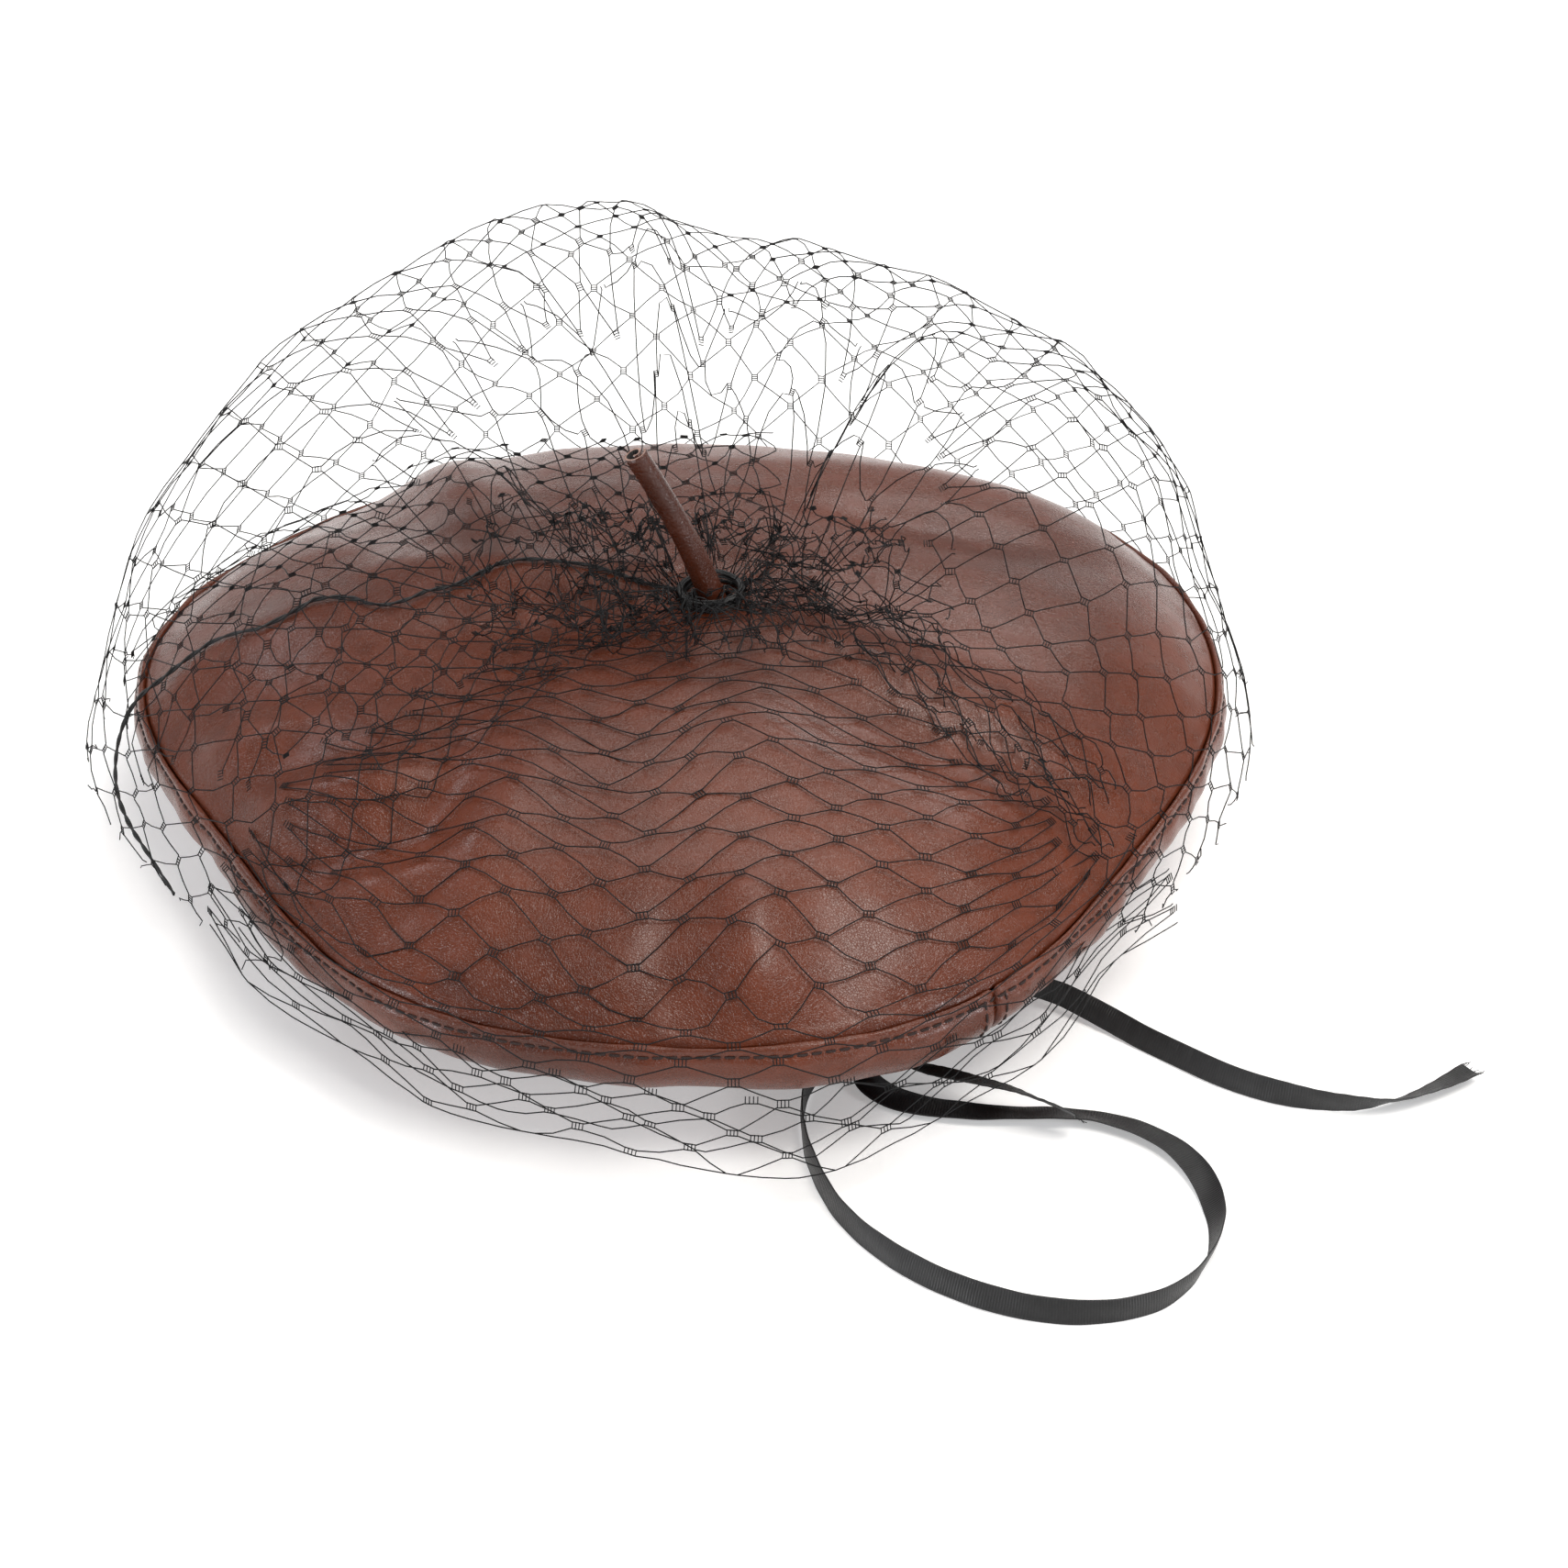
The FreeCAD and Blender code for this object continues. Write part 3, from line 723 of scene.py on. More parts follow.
def front_surface(runs, rows, hang, out=0.0):
    """The net over the front: its threads run across, lying on the crown, then hang over the rim."""
    on_crown = rows - hang

    def surface(u, v):
        u, v = np.broadcast_arrays(np.asarray(u, float), np.asarray(v, float))
        x = FRONT_X[0] + (FRONT_X[1] - FRONT_X[0]) * u / runs
        # the rows follow the rim in front, and straighten towards the stem
        s = np.clip(v / on_crown, 0.0, 1.0) ** 1.25
        y = FRONT_TOP + (np.minimum(rim_y(x), -50.0) - FRONT_TOP) * s
        loose = np.sin(np.pi * np.clip(s, 0.0, 1.0)) ** 0.8
        dip = -9.0 * np.exp(-((x + 19.0) / 17.0) ** 2) + 6.5 * np.exp(-((x - 10.0) / 18.0) ** 2)
        dip = dip - 4.0 * np.exp(-((x - 62.0) / 20.0) ** 2) + 4.0 * np.exp(-((x + 58.0) / 16.0) ** 2)
        y = y + (dip + 1.2 * np.sin(x / 9.5 + 1.1 * v)) * loose
        x = x + 3.0 * np.sin(y / 15.0 + 0.8) * loose
        degrees = np.degrees(np.arctan2(y, x))
        seam = seam_radius(degrees)
        r = np.minimum(np.hypot(x, y), seam - 3.5)
        z = crown_height(*on_circle(r, degrees)) + 1.2 + 0.5 * np.sin(x / 13.0) * np.sin(y / 11.0)
        t = np.clip((v - on_crown + 0.35) / (hang - 0.2), 0.0, 1.0)
        wave = 2.2 * np.sin(degrees / 4.6 + 0.8) * t
        skirt = skirt_radius(degrees) + 1.0 + wave + out
        r = r + (skirt - r) * np.sin(0.5 * np.pi * t) ** 0.8 * (t > 0)
        hem = hem_at(degrees)[1] - 2.0 + 2.5 * np.sin(degrees / 9.0)
        z = z - (z - hem) * (1.0 - np.cos(0.5 * np.pi * t)) * (t > 0)
        return polar(r, degrees, z)

    return surface


# where the front net ends, (x, y), from the left to the right
FRONT_EDGE = np.array((
    (-112.0, -62.0), (-100.0, -56.0), (-90.0, -46.0), (-70.0, -30.0), (-40.0, -16.0), (0.0, -10.0),
    (12.0, -14.0), (44.0, -34.0), (90.0, -66.0), (114.0, -70.0),
))


def front_keep(runs, rows, hang):
    """The front net ends at a diagonal fold on the right and under the upper layer on the left."""
    place = front_surface(runs, rows, hang)

    def keep(u, v):
        spot = place(u, v)
        x, y = spot[..., 0], spot[..., 1]
        before = y < np.interp(x, FRONT_EDGE[:, 0], FRONT_EDGE[:, 1])
        return before | (v > rows - hang + 0.2) & (y < -56.0)
    return keep


def flat_surface(corner, run_way, over_way, lift, crumple, seed):
    """Net laid flat over the crown from a corner, (x, y) per run and per column, and crumpled.

    lift is (height over the crown, swell on top of that, size of the swells).
    """
    height, size, scale = lift

    def surface(u, v):
        u, v = np.broadcast_arrays(np.asarray(u, float), np.asarray(v, float))
        x = corner[0] + run_way[0] * u + over_way[0] * v
        y = corner[1] + run_way[1] * u + over_way[1] * v

        def crumpled(coarse, fine, more):
            broad = crumple * waves(x, y, 0.0 * x, coarse, seed + more)
            return broad, 0.4 * crumple * waves(x, y, 0.0 * x, fine, seed + more + 4.0)

        broad, small = crumpled(34.0, 13.0, 0.0)
        x = x + broad + small
        broad, small = crumpled(31.0, 12.0, 1.0)
        y = y + broad + small
        degrees = np.degrees(np.arctan2(y, x))
        r = np.hypot(x, y)
        edge = seam_radius(degrees) - 3.0
        over = np.maximum(r - edge, 0.0)
        r_in = np.minimum(r, edge)
        x1, y1 = on_circle(r_in, degrees)
        rise = height + size * (0.5 + 0.5 * waves(x, y, 0.0 * x, scale, seed + 2.0))
        z = clear_of_stem(x1, y1, crown_height(x1, y1) + np.maximum(rise, 0.8) - 0.9 * over)
        return polar(np.maximum(r_in + np.minimum(over, 9.0), 8.0), degrees, np.maximum(z, 4.0))
    return surface


def clear_of_stem(x, y, z):
    """Keeps the net below the stem on the side where the stem can be bent down to the left."""
    near = smooth(np.abs(y), 14.0, 9.0) * smooth(x, -2.0, -5.0) * smooth(x, -46.0, -38.0)
    lowest = np.maximum(STEM_ROOT[2] - 1.235 * x - 9.6, crown_height(x, y) + 0.7)
    return z - np.maximum(z - lowest, 0.0) * near


def ruffle_reach(degrees):
    """How far out from the stem the ruffle spreads at each angle."""
    def lobe(at, wide):
        return np.exp(-(turn_from(degrees, at) / wide) ** 2)
    return 30.0 + 14.0 * lobe(-36.0, 20.0) + 12.0 * lobe(-150.0, 40.0) + 8.0 * lobe(40.0, 30.0)


def ruffle_surface(runs, across, seed, base, tall):
    """The net's gathered top edge, standing in flutes round the stem."""
    def surface(u, v):
        place = np.clip(np.asarray(u, float) / runs, 0.0, 1.0)
        a = 2.0 * np.pi * np.asarray(v, float) / across
        degrees = np.degrees(a)
        degrees = degrees + 9.0 * np.sin(9 * a + seed) * smooth(place, 0.0, 0.3)
        reach = ruffle_reach(degrees)
        r = 7.6 + (reach - 7.6) * place ** 0.9
        flute = np.sin(13 * a + seed) + 0.7 * np.sin(21 * a + 2.0 * seed)
        r = r + 1.6 * flute * np.sin(np.pi * np.clip(place, 0.0, 1.0))
        x, y = on_circle(r, degrees)
        rise = tall * np.sin(np.pi * np.clip(place, 0.0, 1.0) ** 0.7) ** 1.2
        z = crown_height(x, y) + base + rise * (0.55 + 0.28 * flute) + 1.2 * place
        z = clear_of_stem(x, y, np.maximum(z, crown_height(x, y) + 0.8))
        return np.stack([x, y, z], -1)
    return surface


BINDING_TURNS, BINDING_R, BINDING_Z = 9.0, 7.5, 73.2


def binding_turns():
    """The thread that ties the net round the stem: many turns, wound unevenly."""
    s = np.linspace(0.0, 1.0, 900)
    a = 2.0 * np.pi * BINDING_TURNS * s
    z = BINDING_Z + 1.3 * np.sin(2.0 * np.pi * 2.3 * s) + 0.4 * np.sin(a * 0.5 + 1.0)
    r = BINDING_R + 0.5 * np.sin(a * 0.37) + 0.3 * np.sin(2.7 * a)
    lean = -0.12 * (z - 73.0)
    path = np.stack([r * np.cos(a) + lean, r * np.sin(a), z + 0.6 * np.cos(a)], -1)
    return tubes(path[None], 0.34, 6)


# ---- materials -------------------------------------------------------------------------------
def node_material(name, roughness=0.5, **sockets):
    """A material and short calls to add and join its nodes."""
    material = bpy.data.materials.new(name)
    material.use_nodes = True
    nodes, links = material.node_tree.nodes, material.node_tree.links
    shader = nodes["Principled BSDF"]
    shader.inputs["Roughness"].default_value = roughness
    for socket, value in sockets.items():
        shader.inputs[socket.replace("_", " ")].default_value = value

    def add(kind, inputs=None, **settings):
        node = nodes.new(kind)
        for key, value in settings.items():
            setattr(node, key, value)
        for key, value in (inputs or {}).items():
            if isinstance(value, bpy.types.NodeSocket):
                links.new(value, node.inputs[key])
            else:
                node.inputs[key].default_value = value
        return node

    return material, shader, add, links


def place_of(add):
    return add("ShaderNodeTexCoord").outputs["Object"]


def noise_at(add, place, scale, detail=3.0, rough=0.5):
    inputs = {"Vector": place, "Scale": scale, "Detail": detail, "Roughness": rough}
    return add("ShaderNodeTexNoise", inputs).outputs["Fac"]


def ramp(add, value, *stops):
    node = add("ShaderNodeValToRGB", {"Fac": value})
    while len(node.color_ramp.elements) < len(stops):
        node.color_ramp.elements.new(0.5)
    for element, (at, colour) in zip(node.color_ramp.elements, stops):
        element.position, element.color = at, (*colour, 1.0) if len(colour) == 3 else colour
    return node.outputs["Color"]


def grey(*stops):
    return tuple((at, (value, value, value)) for at, value in stops)


def bump(add, shader, links, *layers):
    """Bumps laid on each other; each layer is (height socket, metres, strength)."""
    normal = None
    for height, distance, strength in layers:
        inputs = {"Height": height, "Distance": distance, "Strength": strength}
        if normal is not None:
            inputs["Normal"] = normal
        normal = add("ShaderNodeBump", inputs).outputs["Normal"]
    links.new(normal, shader.inputs["Normal"])


def times(add, a, b):
    return add("ShaderNodeMath", {0: a, 1: b}, operation="MULTIPLY").outputs[0]


def plus(add, a, b):
    return add("ShaderNodeMath", {0: a, 1: b}, operation="ADD").outputs[0]


def leather(name="leather_brown", tone=1.0):
    """Brown faux leather: mottled, with a pebble grain and a thin coat; tone makes it darker."""
    material, shader, add, links = node_material(name, Specular_IOR_Level=0.40)
    place = place_of(add)
    broad = noise_at(add, place, 14.0, 4.0)
    mottle = noise_at(add, place, 160.0, 3.0)
    dark, mid, light = (0.066, 0.0130, 0.0040), (0.106, 0.0215, 0.0068), (0.134, 0.0290, 0.0098)
    shades = [tuple(tone * c for c in shade) for shade in (dark, mid, light)]
    colour = ramp(add, broad, (0.25, shades[0]), (0.52, shades[1]), (0.78, shades[2]))
    speck = ramp(add, mottle, *grey((0.3, 0.86), (0.7, 1.08)))
    both = {"Fac": 1.0, "Color1": colour, "Color2": speck}
    colour_mix = add("ShaderNodeMixRGB", both, blend_type="MULTIPLY")
    links.new(colour_mix.outputs["Color"], shader.inputs["Base Color"])
    # pebble grain: cells about 0.6 mm across with fine creases between them
    wander = add("ShaderNodeTexNoise", {"Vector": place, "Scale": 700.0}).outputs["Color"]
    bend = add("ShaderNodeMixRGB", {"Fac": 0.0008, "Color1": place, "Color2": wander}, blend_type="ADD")
    cells = add("ShaderNodeTexVoronoi", {"Vector": bend.outputs["Color"], "Scale": 1700.0},
                feature="DISTANCE_TO_EDGE").outputs["Distance"]
    creases = ramp(add, cells, *grey((0.0, 0.0), (0.16, 0.8), (0.6, 1.0)))
    crumple = noise_at(add, place, 95.0, 5.0, 0.55)
    grain = noise_at(add, place, 1300.0, 1.0, 0.5)
    bump(add, shader, links, (crumple, 0.0009, 0.25), (creases, 0.00009, 0.6), (grain, 0.00020, 0.6))
    shine = ramp(add, plus(add, times(add, mottle, 0.6), times(add, broad, 0.4)),
                 *grey((0.3, 0.23), (0.7, 0.31)))
    links.new(shine, shader.inputs["Roughness"])
    shader.inputs["Coat Weight"].default_value = 0.10
    shader.inputs["Coat Roughness"].default_value = 0.22
    return material


def backing():
    """The knitted back of the leather, nearly black."""
    material, shader, add, links = node_material("leather_backing", 0.9)
    place = place_of(add)
    knit = add("ShaderNodeTexWave", {"Vector": place, "Scale": 620.0, "Distortion": 2.0}).outputs["Fac"]
    links.new(ramp(add, knit, (0.2, (0.008, 0.007, 0.007)), (0.8, (0.035, 0.03, 0.029))),
              shader.inputs["Base Color"])
    bump(add, shader, links, (knit, 0.0002, 0.6))
    return material


def cut_edge():
    """The pale cut edge of the leather."""
    material, shader, add, links = node_material("leather_cut_edge", 0.7)
    fibre = noise_at(add, place_of(add), 1500.0, 4.0, 0.7)
    links.new(ramp(add, fibre, (0.3, (0.16, 0.075, 0.055)), (0.7, (0.42, 0.27, 0.22))),
              shader.inputs["Base Color"])
    bump(add, shader, links, (fibre, 0.0002, 0.6))
    return material


def thread_material(name, dark, light, roughness, sheen):
    """Twisted sewing thread, its plies showing as slanting lines."""
    material, shader, add, links = node_material(name, roughness)
    place = place_of(add)
    ply = add("ShaderNodeTexWave", {"Vector": place, "Scale": 1100.0, "Distortion": 1.2, "Detail": 1.0},
              bands_direction="DIAGONAL").outputs["Fac"]
    links.new(ramp(add, ply, (0.15, dark), (0.85, light)), shader.inputs["Base Color"])
    shader.inputs["Sheen Weight"].default_value = sheen
    bump(add, shader, links, (ply, 0.00012, 0.6))
    return material


def net_material():
    material, shader, add, links = node_material("net_black", 0.55, Specular_IOR_Level=0.22)
    place = place_of(add)
    ply = add("ShaderNodeTexWave", {"Vector": place, "Scale": 1400.0, "Distortion": 1.0},
              bands_direction="DIAGONAL").outputs["Fac"]
    links.new(ramp(add, ply, (0.2, (0.0022, 0.0022, 0.0026)), (0.8, (0.008, 0.008, 0.009))),
              shader.inputs["Base Color"])
    bump(add, shader, links, (ply, 0.00006, 0.5))
    return material


def satin():
    """Black satin ribbon: fine ribs across it, a firm woven edge along both sides."""
    material, shader, add, links = node_material("ribbon_satin", 0.42)
    along = add("ShaderNodeAttribute", attribute_name="along").outputs["Fac"]
    over = add("ShaderNodeAttribute", attribute_name="over").outputs["Fac"]
    ribs = add("ShaderNodeMath", {0: times(add, along, 9.5)}, operation="SINE").outputs[0]
    warp = add("ShaderNodeMath", {0: times(add, over, 26.0)}, operation="SINE").outputs[0]
    fleck = noise_at(add, place_of(add), 2600.0, 3.0, 0.6)
    weave = plus(add, times(add, ribs, 0.35), times(add, times(add, warp, fleck), 0.5))
    edge = add("ShaderNodeMath", {0: over}, operation="ABSOLUTE").outputs[0]
    edge = ramp(add, times(add, edge, 0.3333), *grey((0.80, 0.0), (0.86, 1.0), (1.0, 1.0)))
    tone = ramp(add, plus(add, times(add, weave, 0.5), times(add, edge, 0.3)),
                (0.0, (0.0035, 0.0035, 0.004)), (0.35, (0.009, 0.009, 0.010)), (0.8, (0.024, 0.024, 0.026)))
    links.new(tone, shader.inputs["Base Color"])
    shine = ramp(add, plus(add, fleck, times(add, edge, 0.3)), *grey((0.3, 0.30), (0.8, 0.52)))
    links.new(shine, shader.inputs["Roughness"])
    bump(add, shader, links, (weave, 0.00010, 0.7), (fleck, 0.00006, 0.5))
    return material


def woven(name, dark, light, scale, roughness):
    """Plain cloth: two sets of threads across each other, with slubs."""
    material, shader, add, links = node_material(name, roughness, Sheen_Weight=0.2)
    place = place_of(add)
    slub = noise_at(add, place, scale * 0.06, 4.0)
    one = add("ShaderNodeTexWave", {"Vector": place, "Scale": scale, "Distortion": 0.6},
              bands_direction="DIAGONAL").outputs["Fac"]
    other = add("ShaderNodeTexWave", {"Vector": place, "Scale": scale, "Distortion": 0.6},
                bands_direction="Z").outputs["Fac"]
    cloth = times(add, plus(add, one, other), 0.5)
    tone = plus(add, times(add, cloth, 0.6), times(add, slub, 0.4))
    links.new(ramp(add, tone, (0.25, dark), (0.75, light)), shader.inputs["Base Color"])
    bump(add, shader, links, (cloth, 0.00025, 0.5), (slub, 0.0006, 0.25))
    return material


def ribbed(name, dark, light, ribs=150.0):
    """A band of ribbed tape; the ribs run up and down, spaced round the head."""
    material, shader, add, links = node_material(name, 0.65, Sheen_Weight=0.2)
    place = place_of(add)
    parts = add("ShaderNodeSeparateXYZ", {0: place})
    both = {0: parts.outputs["Y"], 1: parts.outputs["X"]}
    angle = add("ShaderNodeMath", both, operation="ARCTAN2").outputs[0]
    rib = add("ShaderNodeMath", {0: times(add, angle, ribs)}, operation="SINE").outputs[0]
    rib = plus(add, times(add, rib, 0.5), 0.5)
    fleck = noise_at(add, place, 1400.0, 3.0)
    tone = plus(add, times(add, rib, 0.55), times(add, fleck, 0.45))
    links.new(ramp(add, tone, (0.2, dark), (0.8, light)), shader.inputs["Base Color"])
    bump(add, shader, links, (rib, 0.0004, 0.6), (fleck, 0.0001, 0.4))
    return material


def felt():
    material, shader, add, links = node_material("interlining_felt", 0.95, Sheen_Weight=0.3)
    fibre = noise_at(add, place_of(add), 900.0, 6.0, 0.75)
    links.new(ramp(add, fibre, (0.3, (0.30, 0.28, 0.25)), (0.7, (0.62, 0.59, 0.54))),
              shader.inputs["Base Color"])
    bump(add, shader, links, (fibre, 0.0006, 0.8))
    return material


def paper_white():
    material, shader, add, links = node_material("floor_white", 0.9, Specular_IOR_Level=0.05)
    grain = noise_at(add, place_of(add), 900.0, 2.0)
    paper = ramp(add, grain, *grey((0.0, 0.86), (1.0, 0.90)))
    links.new(paper, shader.inputs["Base Color"])
    links.new(paper, shader.inputs["Emission Color"])          # a light table
    shader.inputs["Emission Strength"].default_value = 0.30
    return material


# ---- putting it together ---------------------------------------------------------------------
def wear(piece, *materials):
    for material in materials:
        piece.data.materials.append(material)
    return piece


def make_camera():
    data = bpy.data.cameras.new("camera")
    data.lens, data.sensor_width = CAMERA_LENS, SENSOR
    camera = bpy.data.objects.new("camera", data)
    camera.location = Vector(CAMERA_PLACE) * MM
    camera.rotation_euler = (math.radians(90.0 - CAMERA_ELEVATION), 0.0, 0.0)
    bpy.context.scene.collection.objects.link(camera)
    bpy.context.scene.camera = camera


def make_shell(looks):
    """The leather, its lining and its sewing."""
    leather_looks = (looks["leather"], looks["backing"], looks["cut_edge"])
    crown = wear(mesh_piece("crown_leather", *crown_sheet()), *leather_looks)
    shell(crown, LEATHER_T, backed=True)
    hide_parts("crown_panel")
    lining = mesh_piece("crown_lining_cloth", *crown_sheet(LINING_DROP, 60, 240, 13.5))
    wear(lining, looks["lining"])
    shell(lining, LINING_T)
    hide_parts("crown_lining")
    pieces = [crown, lining]
    for side, start in zip(("right", "left"), SIDE_SEAMS):
        panel = wear(mesh_piece("underside_" + side, *underside_sheet(start)), *leather_looks)
        shell(panel, LEATHER_T, backed=True)
        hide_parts("underside_panel_" + side)
        pieces.append(panel)
    under = joined([underside_sheet(start, -LINING_DROP, 30, 120, 0.16) for start in SIDE_SEAMS])
    cloth = wear(mesh_piece("underside_lining_cloth", *under), looks["lining"])
    shell(cloth, LINING_T)
    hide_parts("underside_lining")
    rim_row = sewn_row(np.linspace(0.0, 360.0, 721), RIM_STITCH_AT)
    sewing = wear(mesh_piece("rim_stitches", *rim_row), looks["brown_thread"])
    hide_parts("rim_topstitch")
    sides = joined([side_stitching(at) for at in SIDE_SEAMS])
    side_sewing = wear(mesh_piece("side_seam_stitches", *sides), looks["brown_thread"])
    for piece in pieces + [cloth, sewing, side_sewing]:
        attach(piece, "beret")


def make_stem(looks):
    stem_looks = (looks["stem"], looks["backing"], looks["cut_edge"])
    stem = wear(mesh_piece("rolled_stem", *stem_roll()), *stem_looks)
    shell(stem, STEM_STRIP_T, backed=True)
    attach(stem, "stem")
    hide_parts("stem")


def declare_cord(piece, body, node, path):
    path = [tuple(point) for point in path * MM]
    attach(piece, body)
    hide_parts(node)


def make_cords(looks):
    knot = wear(mesh_piece("knot_of_ribbon", *knot_wraps()), looks["satin"])
    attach(knot, "beret")
    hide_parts("ribbon_knot")
    for name, node, route, lean, end in (
        ("loop_of_ribbon", "ribbon_loop", RIBBON_LOOP, LOOP_LEAN, "object"),
        ("short_ribbon_end", "ribbon_tail_short", RIBBON_TAIL_SHORT, SHORT_LEAN, "bare"),
        ("long_ribbon_end", "ribbon_tail_long", RIBBON_TAIL_LONG, LONG_LEAN, "bare"),
    ):
        piece, path, length = ribbon(name, route, lean)
        wear(piece, looks["satin"])
        declare_cord(piece, "beret", node, path)
    thread, path, length = two_strands("thread_of_gather", GATHER_THREAD)
    wear(thread, looks["black_thread"])
    declare_cord(thread, "beret", "gather_thread", path)
    turns = wear(mesh_piece("binding_turns", *binding_turns()), looks["black_thread"])
    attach(turns, "beret")
    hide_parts("gather_binding")


def declare_net(piece, node):
    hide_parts(node)
    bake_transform(piece)


# where the upper layer is cut, (column, run)
UPPER_EDGE = np.array((
    (0, 11.9), (1.6, 13.1), (4, 16.0), (5.8, 17.7), (6.6, 16.4), (8.2, 14.9), (10, 14.4), (12, 14.2),
    (14, 14.1),
))


def behind_the_cut(u, v):
    """Keeps the upper layer's threads behind its cut edge, which is a little ragged."""
    return u < np.interp(v, UPPER_EDGE[:, 0], UPPER_EDGE[:, 1]) + np.sin(v * 2.3 + 0.4) * 0.6


def off_the_stem(surface, distance):
    """Keeps the threads that stay this far from the stem's root, so that none runs through it."""
    def keep(u, v):
        spot = surface(u, v)
        return np.hypot(spot[..., 0], spot[..., 1]) > distance
    return keep


def make_back_net(looks):
    runs, across, inner = 21, 36, 5
    whole = back_surface(runs, across)
    layers = [net(lambda u, v: whole(u + inner, v), runs - inner, across, 7, ladder=0.85)]
    # near the stem every second mesh is drawn into the gathers
    layers.append(net(lambda u, v: whole(u * 1.15, v * 2.0), inner, across // 2, 8,
                      slack=0.9, whiskers=False, ladder=0.7))
    # the upper layer over the left, laid with its threads running to the front, where it is cut
    runs, across = 18, 14
    upper = flat_surface((-158.0, 88.0), (0.43, -8.55), (12.4, 0.43), (3.0, 5.0, 44.0), 2.6, 0.7)
    away = off_the_stem(upper, 16.0)
    layers.append(net(upper, runs, across, 19, keep=lambda u, v: behind_the_cut(u, v) & away(u, v)))
    piece = wear(mesh_piece("net_back", *joined(layers)), looks["net"])
    declare_net(piece, "veil_back")


def make_front_net(looks):
    runs, rows, hang = 21, 17, 4
    front = [net(front_surface(runs, rows, hang), runs, rows, 11, front_keep(runs, rows, hang), 0.3,
                 whiskers=False)]
    # the hem doubles back under itself in front
    under = front_surface(runs, rows, hang, -5.0)
    front.append(net(lambda u, v: under(u + 0.4, v + 0.45), runs - 1, rows - 1, 12,
                     lambda u, v: v > rows - hang + 1.5, 0.5, whiskers=False))
    piece = wear(mesh_piece("net_front", *joined(front)), looks["net"])
    declare_net(piece, "veil_front")


def make_ruffle(looks):
    """The gathered edge round the stem, and five tangles of loose net beside it."""
    runs, across = 4, 26
    ruffle = [net(ruffle_surface(runs, across, 0.4, 1.5, 12.0), runs, across, 13, slack=1.3, ladder=0.7)]
    tangles = (
        # corner, along each run, along each column, (lift, swell, scale), crumple, seed, runs, columns
        ((-62.0, 34.0), (0.6, -6.4), (8.6, 0.8), (2.0, 13.0, 21.0), 5.0, 1.9, 11, 8),
        ((-46.0, 26.0), (1.5, -6.0), (8.2, -1.2), (5.0, 14.0, 17.0), 5.5, 3.1, 10, 6),
        ((6.0, 30.0), (0.8, -6.2), (8.4, 0.6), (2.0, 14.0, 19.0), 5.0, 4.3, 9, 5),
        ((2.0, 2.0), (7.4, -5.4), (4.6, 4.8), (1.0, 9.0, 15.0), 4.5, 5.7, 12, 3),
        ((0.0, -4.0), (7.6, -5.8), (3.4, 4.4), (0.8, 7.0, 13.0), 4.0, 7.9, 12, 2),
    )
    for corner, run_way, over_way, lift, crumple, seed, runs, across in tangles:
        patch = flat_surface(corner, run_way, over_way, lift, crumple, seed)
        away = off_the_stem(patch, 13.0)
        ruffle.append(net(patch, runs, across, int(10 * seed), away, 0.9, 1.9, ladder=0.7))
    piece = wear(mesh_piece("net_ruffle", *joined(ruffle)), looks["net"])
    declare_net(piece, "veil_gather")


def dress_cad(looks):
    """The sewn-in pieces that keep their CAD shape."""
    for node, look in (
        ("sweatband", "sweatband"), ("headband", "leather"), ("headband_interlining", "felt"),
        ("ribbon_in_band", "satin_plain"), ("rim_seam_allowance", "leather"), ("stem_anchor", "leather"),
        ("side_seam_front", "leather"), ("side_seam_back", "leather"),
    ):
        if node in bpy.data.objects:
            for slot in bpy.data.objects[node].material_slots:
                slot.material = looks[look]
        else:
            print("NO CAD OBJECT", node)


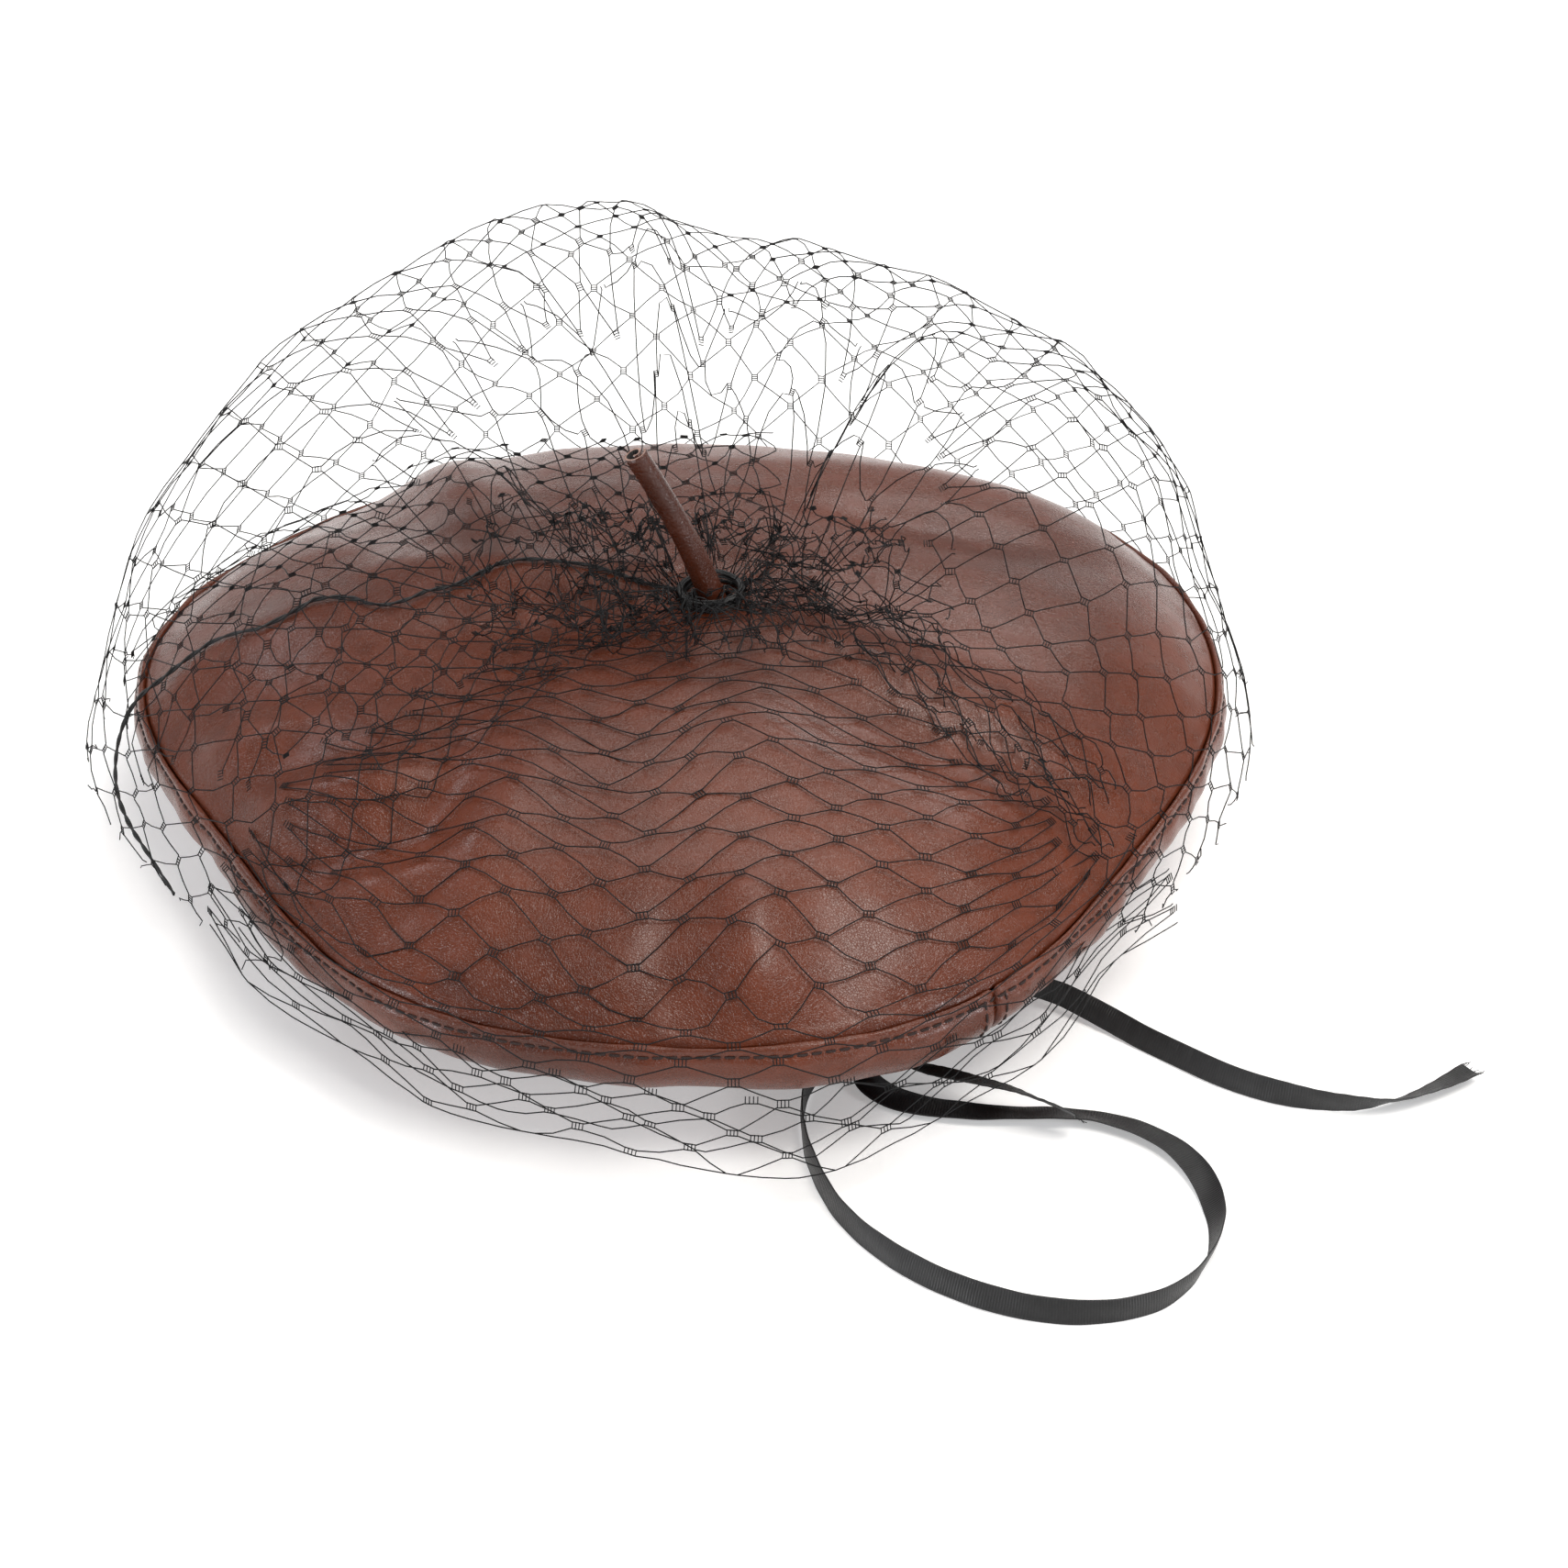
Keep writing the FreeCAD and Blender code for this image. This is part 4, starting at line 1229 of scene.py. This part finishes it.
def make_room():
    floor = mesh_piece("floor", [(-3000, -3000, -0.2), (3000, -3000, -0.2), (3000, 3000, -0.2),
                                 (-3000, 3000, -0.2)], [(0, 1, 2, 3)], False)
    wear(floor, paper_white())
    world = bpy.data.worlds.new("studio")
    bpy.context.scene.world = world
    world.use_nodes = True
    background = world.node_tree.nodes["Background"]
    background.inputs["Color"].default_value = (1.0, 1.0, 1.0, 1.0)
    background.inputs["Strength"].default_value = 0.33
    # (name, place in metres, size in metres, watts, colour)
    for name, place, size, power, colour in (
        ("panel", (0.10, 0.60, 1.30), (0.9, 0.6), 4.0, (1.0, 0.97, 0.93)),
        ("key", (0.5, -0.35, 1.5), (0.8, 0.8), 18.0, (1.0, 0.97, 0.92)),
        ("window", (-0.95, 0.60, 0.95), (0.45, 0.35), 3.3, (0.92, 0.95, 1.0)),
        ("back", (0.45, 1.15, 1.00), (0.8, 0.35), 5.5, (1.0, 0.98, 0.96)),
        ("left_card", (-1.2, -0.65, 0.40), (0.4, 0.3), 7.5, (0.94, 0.96, 1.0)),
        ("right_card", (1.2, -0.75, 0.40), (0.4, 0.3), 7.5, (0.96, 0.97, 1.0)),
    ):
        data = bpy.data.lights.new(name, "AREA")
        data.shape, data.size, data.size_y = "RECTANGLE", size[0], size[1]
        data.energy, data.color = power, colour
        light = bpy.data.objects.new(name, data)
        light.location = place
        aim = Vector(place) - Vector((0.0, 0.0, 0.04))
        light.rotation_euler = aim.to_track_quat("Z", "Y").to_euler()
        bpy.context.scene.collection.objects.link(light)
    settings = bpy.context.scene.view_settings
    settings.view_transform, settings.look, settings.exposure = "Standard", "None", 0.0


def main():
    looks = {
        "leather": leather(), "stem": leather("leather_stem", 0.60), "backing": backing(),
        "cut_edge": cut_edge(), "satin": satin(), "net": net_material(), "felt": felt(),
        "brown_thread": thread_material("stitch_brown", (0.006, 0.0018, 0.0012), (0.034, 0.010, 0.006),
                                        0.7, 0.02),
        "black_thread": thread_material("thread_black", (0.0015, 0.0015, 0.0018), (0.009, 0.009, 0.010),
                                        0.55, 0.04),
        "lining": woven("lining_cloth", (0.020, 0.008, 0.006), (0.075, 0.034, 0.026), 500.0, 0.5),
        "sweatband": ribbed("sweatband_tape", (0.004, 0.004, 0.004), (0.024, 0.023, 0.023)),
        "satin_plain": woven("ribbon_in_band_cloth", (0.004, 0.004, 0.005), (0.02, 0.02, 0.022), 900.0, 0.4),
    }
    make_camera()
    make_shell(looks)
    make_stem(looks)
    make_cords(looks)
    make_back_net(looks)
    make_front_net(looks)
    make_ruffle(looks)
    dress_cad(looks)
    make_room()


main()
